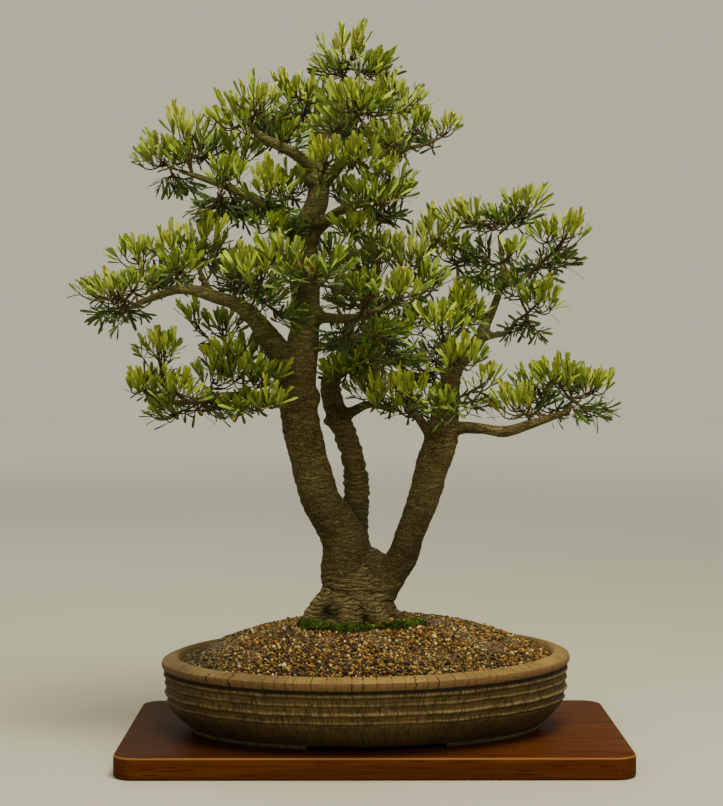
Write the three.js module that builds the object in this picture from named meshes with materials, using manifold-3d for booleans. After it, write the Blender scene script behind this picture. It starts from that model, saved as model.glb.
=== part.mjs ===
// Silver banksia bonsai in an oval stoneware pot, standing on a timber display board.
// Millimetres, +Z up, front of the display towards -Y.
// The origin is the centre of the board's underside.
import * as THREE from 'three';
import { mergeVertices } from 'three/addons/utils/BufferGeometryUtils.js';
import Module from 'manifold-3d';

const wasm = await Module();
wasm.setup();

// Clearance that separate pieces keep from each other, and round what stands in the gravel
const GAP = 0.35;
const HOLE_CLEARANCE = 1.5 * GAP;

// Display board
const BOARD_LENGTH = 650;
const BOARD_DEPTH = 370;
const BOARD_THICKNESS = 28;
const BOARD_CORNER = 28;
const BOARD_EASE = 2.5;

// Oval pot, heights above the board's top face, half widths along the pot's long axis
const POT_X = -9;
const POT_TURN = THREE.MathUtils.degToRad(5);
const POT_HEIGHT = 98;
const POT_SEGMENTS = 28;
const FOOT_HEIGHT = 9;
const FLOOR_TOP = 22;
const RIM_NARROWING = 0.778;
const FOOT_NARROWING = 0.655;
const RIM_RISE = 0.011;
const FOOT_GAP_WIDTH = 176;
const FOOT_GAP_HEIGHT = 7.5;
const DRAIN_SPACING = 230;
const DRAIN_RADIUS = 11;
const DRAIN_SIDES = 12;
const POT_PROFILE = [[0, FOOT_HEIGHT], [206, FOOT_HEIGHT], [208, 0], [231, 0], [237, 8], [249, 19], [260, 31],
  [266, 41], [264.5, 44], [269.5, 53], [267.5, 56], [267.5, 75], [265, 84], [270, 87], [270, 95], [255, 102],
  [248, 99], [240, 60], [222, 28], [208, FLOOR_TOP], [0, FLOOR_TOP]];

// Gravel bed: its side inside the pot, its edge inside the rim and the top of the mound
const BED_SIDE = [[0, FLOOR_TOP + GAP], [207, FLOOR_TOP + GAP], [220.8, 28.6], [238.8, 60]];
const BED_EDGE = 92;
const BED_EDGE_RADIUS = 245.2;
const BED_EDGE_SMOOTH = 5;
const BED_RISE = 54;
const BED_FALL = 2.6;
const BED_RINGS = 5;
const BED_RELIEF = 1.3;

// Squares of mesh over the drainage holes
const SCREEN_SIZE = 36;
const SCREEN_THICKNESS = 1.2;
const SCREEN_CELL = 12;
const SCREEN_BAR = 4;

// Wood
const TRUNK_SIDES = 8;
const TRUNK_SWELL = 0.022;
const ROOT_SWELL = 0.02;
const BRANCH_SIDES = 5;
const FIRST_ACROSS = [0.31, 0.95, 0.05];

// Twigs. A twig that would meet a neighbour is bowed sideways, further at each try
const TWIG_START_RADIUS = 2.6;
const TWIG_END_RADIUS = 1.6;
const SIDE_TWIG_START_RADIUS = 1;
const SIDE_TWIG_PLACE = 0.3;
const TWIG_SIDES = 3;
const TWIG_BEND_PLACE = 0.42;
const TWIG_ROOT_LENGTH = 4;
const TWIG_ROOT_SHARE = 0.2;
const TWIG_BOW = 3;
const TWIG_BOW_STEP = 2;
const TWIG_TRIES = 16;
const STEM_TEST_OFFSET = 2;
const GOLDEN_ANGLE = 2.39996;

// Shoots, as shares of the tuft's size, and how they lean: fresh ones up, old ones outwards
const SHOOT_SHARE = 0.45;
const FOOT_BELOW_CENTRE = 0.6;
const FRESH_LEAN = 0.45;
const OLD_LEAN = 0.95;
const FRESH_RISE = 1.1;
const OLD_RISE = 0.1;

// Leaves. Pitches are angles away from the shoot, for its lowest leaf, its highest leaf and old age
const BLADE_THICKNESS = 0.8;
const BLADE_WIDTH = 8;
const BLADE_LENGTH_PER_SIZE = 1.5;
const BLADE_ROOT = 0.5;
const BLADE_FIRST_PLACE = 0.1;
const BLADE_SPREAD = 0.75;
const BLADES_PER_TUFT = 4;
const SMALL_TUFT = 21;
const LOW_PITCH = 0.95;
const HIGH_PITCH = 0.45;
const OLD_PITCH = 0.3;
const LEAF_SWING = 0.35;
const SWING_STEP = 0.25;
const PITCH_STEP = 0.2;
const PITCH_TRIES = 4;
const BLADE_TRIES = 9;

// Wood: each limb is a route of [x, y, z, radius], from its thick end to its tip
const ROOTS = {
  crown: [[-30, 8, 118, 50], [-31, 8, 143, 60], [-30, 8, 168, 58], [-27, 8, 188, 50], [-23, 8, 206, 43],
    [-20, 8, 223, 40]],
  left: [[-44, 2, 192, 24], [-66, -8, 172, 20], [-84, -14, 148, 13]],
  right: [[-2, 4, 194, 24], [22, -2, 174, 19], [40, -4, 148, 13]],
  front: [[-30, -18, 190, 24], [-34, -44, 168, 18], [-36, -58, 142, 12]],
  back: [[-24, 30, 190, 24], [-16, 56, 170, 18], [-12, 70, 146, 12]],
};
const TRUNKS = {
  trunk_a: [[-34, 6, 196, 34], [-38, 4, 230, 30], [-40, 2, 277, 28], [-63, 0, 330, 26], [-83, -2, 383, 24],
    [-97, -4, 437, 24], [-101, -5, 487, 25], [-94, -5, 526, 20], [-90, -4, 575, 18.5], [-90, -4, 634, 19],
    [-92, -5, 680, 17.5], [-77, -8, 716, 14.5], [-69, -10, 752, 13]],
  trunk_b: [[-15, 22, 200, 26], [-12, 30, 247, 18], [-16, 38, 300, 16.5], [-20, 44, 347, 16.5],
    [-28, 50, 387, 14.5], [-45, 56, 434, 14.5], [-57, 60, 475, 14], [-50, 62, 499, 10], [-30, 62, 524, 8],
    [-13, 60, 547, 6.5], [0, 58, 567, 5]],
  trunk_c: [[3, 0, 197, 28], [22, -4, 231, 21], [34, -6, 254, 19.5], [47, -8, 287, 18.5],
    [67, -10, 334, 20.5], [76, -12, 371, 21], [89, -14, 411, 22], [94, -14, 443, 18], [99, -12, 479, 13.5], [109, -8, 508, 11],
    [133, -4, 533, 9.5], [148, 0, 562, 7], [164, 2, 598, 5], [171, 2, 628, 4.5], [169, 0, 658, 3.8],
    [166, -2, 682, 3.2]],
};
const BRANCHES = {
  leader: [[-69, -10, 746, 13], [-72, -10, 771, 10.5], [-68, -12, 798, 7], [-56, -14, 828, 5.5],
    [-40, -18, 884, 3.5]],
  leader_left: [[-74, -8, 775, 8], [-80, 0, 797, 6], [-77, 16, 827, 5], [-75, 20, 856, 4]],
  top_left: [[-73, -10, 763, 10], [-90, -21, 776, 8], [-109, -36, 787, 7], [-128, -40, 796, 6.5],
    [-145, -40, 804, 5.5], [-160, -40, 819, 4]],
  top_right: [[-65, -10, 750, 9], [-47, -27, 766, 7.5], [-33, -48, 782, 6.5], [-22, -64, 801, 5],
    [-14, -76, 817, 4]],
  top_far_right: [[-47, -20, 770, 5.5], [-7, -30, 785, 4.5], [25, -32, 789, 4], [54, -24, 794, 3.2],
    [74, -16, 800, 2.6]],
  upper_left: [[-89, -4, 674, 12], [-112, -12, 697, 9], [-138, -24, 716, 7.5], [-166, -28, 731, 6],
    [-198, -28, 744, 5], [-229, -24, 755, 4], [-256, -20, 764, 3]],
  upper_right: [[-86, -6, 679, 11], [-57, -24, 701, 7.5], [-33, -44, 714, 6], [-8, -48, 719, 5],
    [18, -44, 723, 3.8]],
  mid_left: [[-100, -5, 483, 22], [-119, -12, 516, 19], [-138, -24, 547, 16], [-159, -30, 573, 12.5],
    [-179, -34, 589, 10.5], [-208, -36, 598, 8], [-236, -36, 607, 6.8], [-263, -34, 606, 6],
    [-288, -30, 597, 5], [-311, -24, 589, 4]],
  mid_left_rise: [[-209, -34, 597, 6], [-219, -38, 615, 4.5], [-227, -44, 635, 3.6]],
  mid_right: [[-90, -4, 574, 12], [-61, -21, 571, 7], [-31, -48, 570, 6], [-3, -64, 576, 5],
    [24, -76, 589, 4]],
  mid_front: [[-90, -8, 605, 10], [-92, -51, 612, 6.5], [-81, -116, 619, 5]],
  mid_back: [[-89, 0, 615, 11], [-77, 60, 629, 7.5], [-62, 138, 644, 5.5], [-54, 168, 654, 4]],
  low_left: [[-97, -6, 447, 13], [-125, -21, 462, 8], [-153, -40, 468, 6.8], [-184, -48, 469, 6],
    [-212, -48, 467, 5.2], [-242, -40, 461, 4.4], [-269, -32, 462, 3.6], [-290, -24, 467, 3]],
  low_left_high: [[-110, -12, 484, 9], [-136, -18, 500, 4.5], [-157, -20, 508, 3.6], [-175, -16, 513, 3]],
  b_right: [[-45, 56, 437, 11], [-27, 60, 446, 7], [-9, 48, 455, 5.5], [9, 20, 454, 4.6], [27, 0, 448, 3.6]],
  b_back: [[-35, 62, 518, 8], [-31, 132, 535, 5.5], [-26, 170, 549, 4]],
  c_left: [[88, -14, 408, 15], [69, -9, 427, 7], [57, 4, 442, 5], [42, 16, 450, 4]],
  c_right: [[91, -14, 421, 13], [116, -27, 427, 8], [144, -40, 426, 7], [171, -40, 423, 7.5],
    [201, -36, 431, 6.2], [231, -28, 440, 4.8], [258, -20, 449, 3.6]],
  c_front: [[95, -14, 450, 11], [97, -54, 459, 6], [97, -104, 467, 4.5]],
  c_back: [[97, -6, 466, 11], [98, 36, 486, 6.5], [93, 96, 507, 4.6]],
  c_side: [[145, -2, 548, 6.5], [162, 3, 549, 4.4], [179, 12, 554, 3.6], [191, 12, 569, 3]],
  c_top_right: [[169, 2, 614, 4.6], [189, 6, 620, 3.6], [208, 12, 633, 3], [223, 12, 645, 2.6]],
  c_top_left: [[150, 0, 566, 6], [137, 6, 587, 4.2], [128, 12, 611, 3.4], [119, 12, 630, 2.8]],
};
const LIMBS = { ...TRUNKS, ...BRANCHES };

// Leafy sprays: the limb that each grows from, how far along it (1 is the tip), and its tufts as
// [x, y, z, size, age], where age runs from 0 for fresh upright growth to 1 for old drooping leaves
const SPRAYS = {
  apex: ['leader', 1, [[-28, -40, 925, 26, 0.1], [-54, -20, 900, 20, 0.5], [3, -56, 899, 19, 0.3]]],
  top_front: ['top_right', 1, [[-27, -140, 849, 21, 0.15], [-3, -122, 836, 18, 0.4]]],
  top_back: ['leader', 0.62, [[-42, 76, 853, 20, 0.5], [-65, 96, 883, 19, 0.5]]],
  top_crest_left: ['leader_left', 1, [[-106, -12, 875, 22, 0.1], [-94, 44, 851, 19, 0.5]]],
  top_tip_left: ['top_left', 1, [[-149, -56, 858, 23, 0.1], [-181, -40, 831, 22, 0.15]]],
  top_low_left: ['top_left', 0.62, [[-143, 36, 831, 20, 0.5], [-121, 72, 830, 18, 0.6]]],
  top_crest_right: ['top_right', 0.86, [[26, -40, 866, 23, 0.15], [60, -12, 865, 16, 0.3]]],
  right_tip: ['top_far_right', 1, [[100, -12, 823, 13, 0.05], [72, 0, 806, 15, 0.7]]],
  right_upper: ['top_far_right', 0.6, [[59, -36, 830, 20, 0.15], [14, -96, 800, 19, 0.3],
    [36, 52, 809, 19, 0.4]]],
  front_knot: ['trunk_a', 0.97, [[-62, -122, 774, 16, 0.1]]],
  inner_right: ['top_right', 0.5, [[-18, -126, 774, 18, 0.2], [-28, 68, 825, 19, 0.6]]],
  right_shelf: ['upper_right', 1, [[24, -40, 760, 22, 0.2], [37, -16, 736, 17, 0.3]]],
  right_shelf_front: ['upper_right', 0.75, [[-3, -108, 730, 20, 0.3], [14, -8, 709, 18, 0.8]]],
  right_under: ['upper_right', 0.45, [[-24, -88, 689, 18, 0.3], [-36, 28, 743, 19, 0.5]]],
  left_tip: ['upper_left', 1, [[-287, -20, 790, 21, 0.15], [-257, -8, 747, 18, 0.9]]],
  left_crest: ['upper_left', 0.88, [[-244, -32, 820, 24, 0.15], [-214, 28, 801, 20, 0.5]]],
  left_shoulder: ['upper_left', 0.66, [[-187, -72, 762, 22, 0.3], [-172, 8, 796, 19, 0.4],
    [-209, -20, 721, 18, 0.8], [-178, 28, 721, 19, 0.8]]],
  left_inner: ['upper_left', 0.3, [[-134, -64, 747, 21, 0.15], [-127, -54, 712, 17, 0.7],
    [-104, 68, 757, 20, 0.3]]],
  shelf_left_far: ['mid_left', 0.88, [[-307, -12, 660, 18, 0.2], [-278, 28, 625, 19, 0.6]]],
  shelf_left_crest: ['mid_left', 0.74, [[-267, -32, 672, 22, 0.15], [-244, -88, 641, 18, 0.4]]],
  shelf_left_mid: ['mid_left_rise', 1, [[-220, -40, 677, 23, 0.2], [-202, 32, 665, 19, 0.5]]],
  shelf_left_inner: ['mid_left', 0.45, [[-184, -16, 637, 20, 0.7], [-176, 44, 618, 18, 0.7]]],
  shelf_tip: ['mid_left', 1, [[-348, -32, 611, 21, 0.1], [-378, 4, 607, 15, 0.4], [-336, -8, 583, 21, 0.9],
    [-306, -44, 621, 17, 0.3]]],
  front_left: ['mid_left', 0.36, [[-140, -122, 637, 21, 0.1]]],
  front_trunk: ['mid_front', 1, [[-93, -144, 626, 20, 0.7], [-53, -150, 633, 20, 0.5]]],
  back_trunk: ['mid_back', 1, [[-54, 192, 675, 23, 0.5], [-85, 178, 654, 21, 0.6], [-28, 170, 634, 21, 0.6]]],
  mid_right_crest: ['mid_right', 0.8, [[6, -36, 665, 21, 0.35], [-17, 68, 649, 20, 0.5]]],
  mid_right_front: ['mid_right', 0.62, [[-3, -122, 612, 19, 0.4], [-36, -80, 595, 15, 0.8],
    [14, -4, 545, 20, 0.8], [-44, -28, 550, 16, 0.9]]],
  mid_right_tip: ['mid_right', 1, [[49, -24, 657, 20, 0.15], [84, 4, 690, 23, 0.15]]],
  mid_right_bright: ['mid_right', 0.92, [[35, -134, 611, 21, 0.2], [74, -16, 626, 18, 0.4]]],
  b_top: ['trunk_b', 1, [[16, 104, 593, 21, 0.6], [52, 40, 577, 20, 0.4]]],
  b_mid: ['trunk_b', 0.86, [[-39, 20, 505, 21, 0.3], [-4, 80, 513, 21, 0.6]]],
  b_rear: ['b_back', 1, [[-17, 194, 569, 23, 0.6], [-46, 186, 538, 20, 0.7]]],
  b_skirt: ['b_right', 1, [[19, -40, 474, 21, 0.15], [-2, 32, 486, 19, 0.4]]],
  c_skirt: ['c_left', 1, [[47, -80, 483, 20, 0.15], [55, 28, 449, 16, 0.6]]],
  c_rear: ['c_back', 1, [[83, 122, 529, 22, 0.8], [76, 80, 494, 21, 0.8]]],
  c_crest: ['trunk_c', 0.6, [[91, -104, 574, 22, 0.2], [108, -112, 524, 20, 0.2]]],
  c_face: ['c_front', 1, [[90, -136, 466, 19, 0.5]]],
  c_twig: ['trunk_c', 0.5, [[148, -36, 492, 16, 0.2], [140, -16, 463, 16, 0.7]]],
  c_peak: ['trunk_c', 1, [[200, 0, 727, 15, 0.1], [183, 4, 705, 15, 0.9], [120, -20, 704, 21, 0.15],
    [156, -12, 704, 17, 0.5]]],
  c_heart: ['trunk_c', 0.88, [[137, 20, 660, 21, 0.95], [180, -60, 658, 19, 0.3]]],
  c_right_tip: ['c_top_right', 1, [[260, -12, 687, 20, 0.1], [228, -20, 678, 17, 0.2]]],
  c_right_low: ['c_top_right', 0.8, [[244, 16, 653, 19, 0.9], [212, 40, 639, 17, 0.9]]],
  c_side_tip: ['c_side', 1, [[223, -16, 601, 21, 0.2], [204, 12, 564, 19, 0.7]]],
  c_left_tip: ['c_top_left', 1, [[100, 0, 662, 15, 0.3], [117, -44, 589, 19, 0.25]]],
  reach_near: ['c_right', 0.72, [[187, -24, 466, 20, 0.15], [214, -12, 493, 16, 0.25],
    [227, 32, 458, 17, 0.8]]],
  reach_tip: ['c_right', 1, [[268, 0, 491, 21, 0.2], [301, -12, 482, 17, 0.1], [284, -20, 454, 16, 0.9],
    [238, -32, 499, 17, 0.2]]],
  low_tip: ['low_left', 1, [[-318, -40, 489, 17, 0.15], [-290, 20, 486, 19, 0.8]]],
  low_crest: ['low_left', 0.86, [[-285, -20, 525, 17, 0.2], [-260, -52, 526, 17, 0.2],
    [-246, -72, 481, 21, 0.3]]],
  low_heart: ['low_left', 0.66, [[-213, -12, 462, 22, 0.95], [-269, -28, 452, 16, 0.5]]],
  low_inner: ['low_left', 0.36, [[-165, -64, 463, 21, 0.7], [-133, -92, 470, 17, 0.4]]],
  low_rise: ['low_left_high', 1, [[-195, -40, 526, 20, 0.25], [-163, 36, 529, 20, 0.35],
    [-239, -8, 563, 16, 0.3]]],
};

// Moss along the front of the trunk's foot as [x, y, radius], half sunk in the gravel
const MOSS_LINE = [[-84, -40, 8], [-64, -64, 10], [-33, -77, 11], [3, -74, 10], [32, -59, 11], [60, -44, 9],
  [86, -31, 8]];
const MOSS_SIDES = 7;

const bonsai = new THREE.Group();

function finish(color, roughness) {
  return new THREE.MeshStandardMaterial({ color, roughness, metalness: 0 });
}

// A closed geometry as a solid that can be joined and cut
function solidOf(geometry) {
  const bare = geometry.clone();
  bare.deleteAttribute('normal');
  bare.deleteAttribute('uv');
  const welded = mergeVertices(bare, 1e-3);
  return new wasm.Manifold(new wasm.Mesh({
    numProp: 3,
    vertProperties: new Float32Array(welded.attributes.position.array),
    triVerts: new Uint32Array(welded.index.array),
  }));
}

function geometryOf(solid) {
  const mesh = solid.getMesh();
  const geometry = new THREE.BufferGeometry();
  geometry.setAttribute('position', new THREE.BufferAttribute(new Float32Array(mesh.vertProperties), 3));
  geometry.setIndex(new THREE.BufferAttribute(new Uint32Array(mesh.triVerts), 1));
  return geometry;
}

function addPiece(name, geometry, material) {
  geometry.computeVertexNormals();
  const mesh = new THREE.Mesh(geometry, material);
  mesh.name = name;
  bonsai.add(mesh);
}

function blend(a, b, t) {
  return a + (b - a) * t;
}

// Radius of a route of [x, y, z, radius] at parameter t from 0 to 1
function radiusAt(route, t) {
  const place = t * (route.length - 1);
  const i = Math.min(Math.floor(place), route.length - 2);
  return blend(route[i][3], route[i + 1][3], place - i);
}

function curveOf(route) {
  const points = route.map(([x, y, z]) => new THREE.Vector3(x, y, z));
  return new THREE.CatmullRomCurve3(points, false, 'centripetal');
}

// Rings along a route, each with two directions across it that are carried on without twisting
function ringsAlong(route, steps) {
  const places = curveOf(route).getPoints(steps);
  const across = new THREE.Vector3(...FIRST_ACROSS);
  return places.map((place, i) => {
    const after = places[Math.min(i + 1, steps)];
    const way = after.clone().sub(places[Math.max(i - 1, 0)]).normalize();
    across.addScaledVector(way, -across.dot(way)).normalize();
    return { place, across: across.clone(), beside: new THREE.Vector3().crossVectors(across, way) };
  });
}

// A limb's radius at one corner of one ring, uneven by its swell
function cornerRadius(route, steps, step, angle, { swell = 0, grow = 0 }) {
  const lump = 1 + swell * (Math.sin(angle * 3 + step * 1.9) + (step % 2 ? 0.8 : -0.8));
  return radiusAt(route, step / steps) * lump + grow;
}

// A tapering limb: a cylinder bent along its route
function limbGeometry(route, sides, steps, shape = {}) {
  const rings = ringsAlong(route, steps);
  const geometry = new THREE.CylinderGeometry(1, 1, 1, sides, steps);
  const position = geometry.attributes.position;
  const spot = new THREE.Vector3();
  for (let i = 0; i < position.count; i += 1) {
    const [sine, cosine] = [position.getX(i), position.getZ(i)];
    const step = Math.round((position.getY(i) + 0.5) * steps);
    const radius = cornerRadius(route, steps, step, Math.atan2(sine, cosine), shape);
    const { place, across, beside } = rings[step];
    spot.copy(place).addScaledVector(across, sine * radius).addScaledVector(beside, cosine * radius);
    position.setXYZ(i, spot.x, spot.y, spot.z);
  }
  return geometry;
}

// The flat face of a limb, beside a place along it, that looks most towards a target
function faceTowards(route, sides, shape, along, target) {
  const steps = route.length - 1;
  const rings = ringsAlong(route, steps);
  const first = Math.min(Math.floor(along * steps), steps - 1);
  let best = null;
  for (let face = 0; face < sides; face += 1) {
    const corners = [[0, 0], [0, 1], [1, 1], [1, 0]].map(([up, round]) => {
      const step = first + up;
      const angle = ((face + round) / sides) * 2 * Math.PI;
      const turn = Math.atan2(Math.sin(angle), Math.cos(angle));
      const radius = cornerRadius(route, steps, step, turn, shape);
      const { place, across, beside } = rings[step];
      const spot = place.clone().addScaledVector(across, Math.sin(angle) * radius);
      return spot.addScaledVector(beside, Math.cos(angle) * radius);
    });
    const centre = corners.reduce((sum, corner) => sum.add(corner), new THREE.Vector3()).divideScalar(4);
    const slant = corners[2].clone().sub(corners[0]);
    const normal = slant.cross(corners[3].clone().sub(corners[1])).normalize();
    const inside = rings[first].place.clone().lerp(rings[first + 1].place, 0.5);
    normal.multiplyScalar(Math.sign(normal.dot(centre.clone().sub(inside))));
    const score = normal.dot(target.clone().sub(centre).normalize());
    if (!best || score > best.score) {
      best = { centre, normal, score };
    }
  }
  return best;
}

// Display board: a rounded slab with eased edges
function displayBoard() {
  const halfX = BOARD_LENGTH / 2 - BOARD_EASE;
  const halfY = BOARD_DEPTH / 2 - BOARD_EASE;
  const corner = BOARD_CORNER - BOARD_EASE;
  const outline = new THREE.Shape();
  outline.absarc(halfX - corner, halfY - corner, corner, 0, Math.PI / 2);
  outline.absarc(corner - halfX, halfY - corner, corner, Math.PI / 2, Math.PI);
  outline.absarc(corner - halfX, corner - halfY, corner, Math.PI, Math.PI * 1.5);
  outline.absarc(halfX - corner, corner - halfY, corner, Math.PI * 1.5, Math.PI * 2);
  outline.closePath();
  const geometry = new THREE.ExtrudeGeometry(outline, {
    depth: BOARD_THICKNESS - 2 * BOARD_EASE,
    bevelEnabled: true,
    bevelThickness: BOARD_EASE,
    bevelSize: BOARD_EASE,
    bevelSegments: 1,
    curveSegments: 4,
  });
  return geometryOf(solidOf(geometry.translate(0, 0, BOARD_EASE)));
}

// The pot is round in its profile and narrowed front to back, more at the foot than at the rim,
// and its hand-made rim rises a little to the right
function ovalPlace(geometry) {
  const position = geometry.attributes.position;
  for (let i = 0; i < position.count; i += 1) {
    const x = position.getX(i);
    const z = position.getZ(i);
    const height = THREE.MathUtils.clamp(z / POT_HEIGHT, 0, 1);
    position.setY(i, position.getY(i) * blend(FOOT_NARROWING, RIM_NARROWING, height));
    position.setZ(i, z + x * RIM_RISE * height);
  }
  geometry.rotateZ(POT_TURN);
  return geometry.translate(POT_X, 0, BOARD_THICKNESS + GAP);
}

function turned(profile) {
  const points = profile.map(([radius, height]) => new THREE.Vector2(radius, height));
  return new THREE.LatheGeometry(points, POT_SEGMENTS).rotateX(Math.PI / 2);
}

// The pot, its foot ring cut away at the front and back, and two drainage holes through the floor
function potSolid() {
  let pot = solidOf(ovalPlace(turned(POT_PROFILE)));
  const footGap = new THREE.BoxGeometry(FOOT_GAP_WIDTH, BOARD_LENGTH, 2 * FOOT_GAP_HEIGHT);
  footGap.rotateZ(POT_TURN).translate(POT_X, 0, BOARD_THICKNESS);
  pot = pot.subtract(solidOf(footGap));
  for (const side of [-1, 1]) {
    const drain = new THREE.CylinderGeometry(DRAIN_RADIUS, DRAIN_RADIUS, 3 * FLOOR_TOP, DRAIN_SIDES);
    drain.rotateX(Math.PI / 2).translate(...drainPlace(side));
    pot = pot.subtract(solidOf(drain));
  }
  return pot;
}

function drainPlace(side) {
  const reach = side * DRAIN_SPACING / 2;
  return [POT_X + reach * Math.cos(POT_TURN), reach * Math.sin(POT_TURN), BOARD_THICKNESS + FLOOR_TOP];
}

// A plate lying on the pot's floor over a drainage hole
function plateOverDrain(side, size, thickness, shift = [0, 0]) {
  const [x, y, z] = drainPlace(side);
  const slope = RIM_RISE * FLOOR_TOP / POT_HEIGHT;
  const lift = (x - POT_X) * slope / Math.cos(POT_TURN) + SCREEN_THICKNESS / 2 + 2 * GAP;
  const plate = new THREE.BoxGeometry(size, size, thickness).translate(...shift, 0);
  return solidOf(plate.rotateY(-Math.atan(slope)).rotateZ(POT_TURN).translate(x, y, z + lift));
}

// Plastic mesh over a drainage hole, cells open
function screenSolid(side) {
  let screen = plateOverDrain(side, SCREEN_SIZE, SCREEN_THICKNESS);
  const step = (SCREEN_CELL + SCREEN_BAR) / 2;
  for (const shift of [[-step, -step], [step, -step], [-step, step], [step, step]]) {
    screen = screen.subtract(plateOverDrain(side, SCREEN_CELL, 3 * SCREEN_THICKNESS, shift));
  }
  return screen;
}

// Gravel bed filling the pot, heaped round the trunk, with a grainy top
function gravelGeometry() {
  const profile = [...BED_SIDE, [BED_EDGE_RADIUS, BED_EDGE]];
  for (let ring = BED_RINGS - 1; ring >= 0; ring -= 1) {
    const share = ring / BED_RINGS;
    profile.push([BED_EDGE_RADIUS * share, BED_EDGE + BED_RISE * (1 - share ** BED_FALL)]);
  }
  const geometry = turned(profile);
  const position = geometry.attributes.position;
  for (let i = 0; i < position.count; i += 1) {
    const x = position.getX(i);
    const y = position.getY(i);
    const onTop = Math.hypot(x, y) < BED_EDGE_RADIUS - BED_EDGE_SMOOTH && position.getZ(i) > BED_EDGE;
    if (onTop) {
      const grain = Math.sin(x * 0.31 + y * 0.17) + Math.sin(y * 0.37 - x * 0.23);
      position.setZ(i, position.getZ(i) + BED_RELIEF * grain);
    }
  }
  return ovalPlace(geometry);
}

// Height of the gravel's face at a point of the plan
function groundAt(x, y) {
  const across = new THREE.Vector2(x - POT_X, y).rotateAround(new THREE.Vector2(), -POT_TURN);
  const share = Math.min(Math.hypot(across.x, across.y / RIM_NARROWING) / BED_EDGE_RADIUS, 1);
  return BOARD_THICKNESS + BED_EDGE + BED_RISE * (1 - share ** BED_FALL) + across.x * RIM_RISE;
}

function mossSolid(gravel, trunkHole) {
  const route = MOSS_LINE.map(([x, y, radius]) => [x, y, groundAt(x, y), radius]);
  const raised = solidOf(geometryOf(gravel).translate(0, 0, GAP));
  const strip = solidOf(limbGeometry(route, MOSS_SIDES, route.length - 1));
  return strip.subtract(raised).subtract(gravel).subtract(trunkHole);
}

// Solids that later pieces must stay clear of, each with its owner and its box
const standing = [];

function stand(owner, solid, geometry) {
  geometry.computeBoundingBox();
  standing.push({ owner, solid, box: geometry.boundingBox });
}

// True where a slightly enlarged piece would meet a standing piece of another owner
function meets(owner, geometry) {
  geometry.computeBoundingBox();
  const box = geometry.boundingBox;
  const near = standing.filter((other) => other.owner !== owner && other.box.intersectsBox(box));
  if (near.length === 0) {
    return false;
  }
  const solid = solidOf(geometry);
  return near.some((other) => !solid.intersect(other.solid).isEmpty());
}

// Where a tuft's shoot starts and which way it points
function tuftOf([x, y, z, size, age], from) {
  const centre = new THREE.Vector3(x, y, z);
  const axis = centre.clone().sub(from).normalize().multiplyScalar(blend(FRESH_LEAN, OLD_LEAN, age));
  axis.z += blend(FRESH_RISE, OLD_RISE, age);
  axis.normalize();
  const foot = centre.addScaledVector(axis, -FOOT_BELOW_CENTRE * size);
  return { axis, foot, size, age };
}

// Each spray's stem meets the tip of its limb, or a flat on its side, face to face
function planSprays() {
  return Object.entries(SPRAYS).map(([name, [limb, along, spots]], order) => {
    const route = LIMBS[limb];
    const curve = curveOf(route);
    const point = curve.getPoint(along);
    const tufts = spots.map((spot) => tuftOf(spot, point));
    if (along === 1) {
      const { place } = ringsAlong(route, route.length - 1).pop();
      const way = place.clone().sub(curve.getPoint((route.length - 2) / (route.length - 1))).normalize();
      return { name, order, tufts, way, start: place.clone().addScaledVector(way, GAP) };
    }
    const thick = limb in TRUNKS;
    const shape = { swell: thick ? TRUNK_SWELL : 0 };
    const sides = thick ? TRUNK_SIDES : BRANCH_SIDES;
    const { centre, normal } = faceTowards(route, sides, shape, along, tufts[0].foot);
    return { name, order, tufts, way: normal, start: centre.addScaledVector(normal, GAP) };
  });
}

// A twig's route to a tuft's foot and up its shoot, bowed sideways from the second attempt on
function twigRoute(stem, start, way, tuft, attempt) {
  const span = start.distanceTo(tuft.foot);
  const tip = tuft.foot.clone().addScaledVector(tuft.axis, tuft.size * SHOOT_SHARE);
  const middle = start.clone().addScaledVector(way, span * TWIG_BEND_PLACE);
  const places = stem && attempt === 0 ? [start, tuft.foot, tip] : [start, middle, tuft.foot, tip];
  if (attempt > 0) {
    const side = new THREE.Vector3().crossVectors(way, tuft.axis).normalize();
    const lift = new THREE.Vector3().crossVectors(side, way).normalize();
    const bow = TWIG_BOW + attempt * TWIG_BOW_STEP;
    middle.addScaledVector(side, bow * Math.sin(attempt * GOLDEN_ANGLE));
    middle.addScaledVector(lift, bow * Math.cos(attempt * GOLDEN_ANGLE));
    const root = start.clone().addScaledVector(way, Math.min(TWIG_ROOT_LENGTH, span * TWIG_ROOT_SHARE));
    places.splice(1, 0, root);
  }
  const last = places.length - 1;
  const thick = stem ? SIDE_TWIG_START_RADIUS : TWIG_START_RADIUS;
  return places.map((place, i) => [...place.toArray(), blend(thick, TWIG_END_RADIUS, i / last)]);
}

function twigGeometry(route, grow = 0) {
  return limbGeometry(route, TWIG_SIDES, route.length - 1, { grow });
}

// The start of a spray's stem is held apart from its limb by the gap alone, so it is tested from further on
function growTwig(spray, stem, start, way, tuft) {
  const offset = stem ? 0 : STEM_TEST_OFFSET;
  for (let attempt = 0; attempt < TWIG_TRIES; attempt += 1) {
    const route = twigRoute(stem, start, way, tuft, attempt);
    const testedStart = start.clone().addScaledVector(way, offset);
    const tested = [[...testedStart.toArray(), route[0][3]], ...route.slice(1)];
    if (!meets(spray.name, twigGeometry(tested, GAP))) {
      const geometry = twigGeometry(route);
      const solid = solidOf(geometry);
      stand(spray.name, solid, geometry);
      return { route, solid };
    }
  }
  return null;
}

// Where side twigs leave a stem: on its last straight stretch below the first tuft
function stemPlace(route) {
  const below = new THREE.Vector3(...route[route.length - 3]);
  return below.lerp(new THREE.Vector3(...route[route.length - 2]), SIDE_TWIG_PLACE);
}

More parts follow.
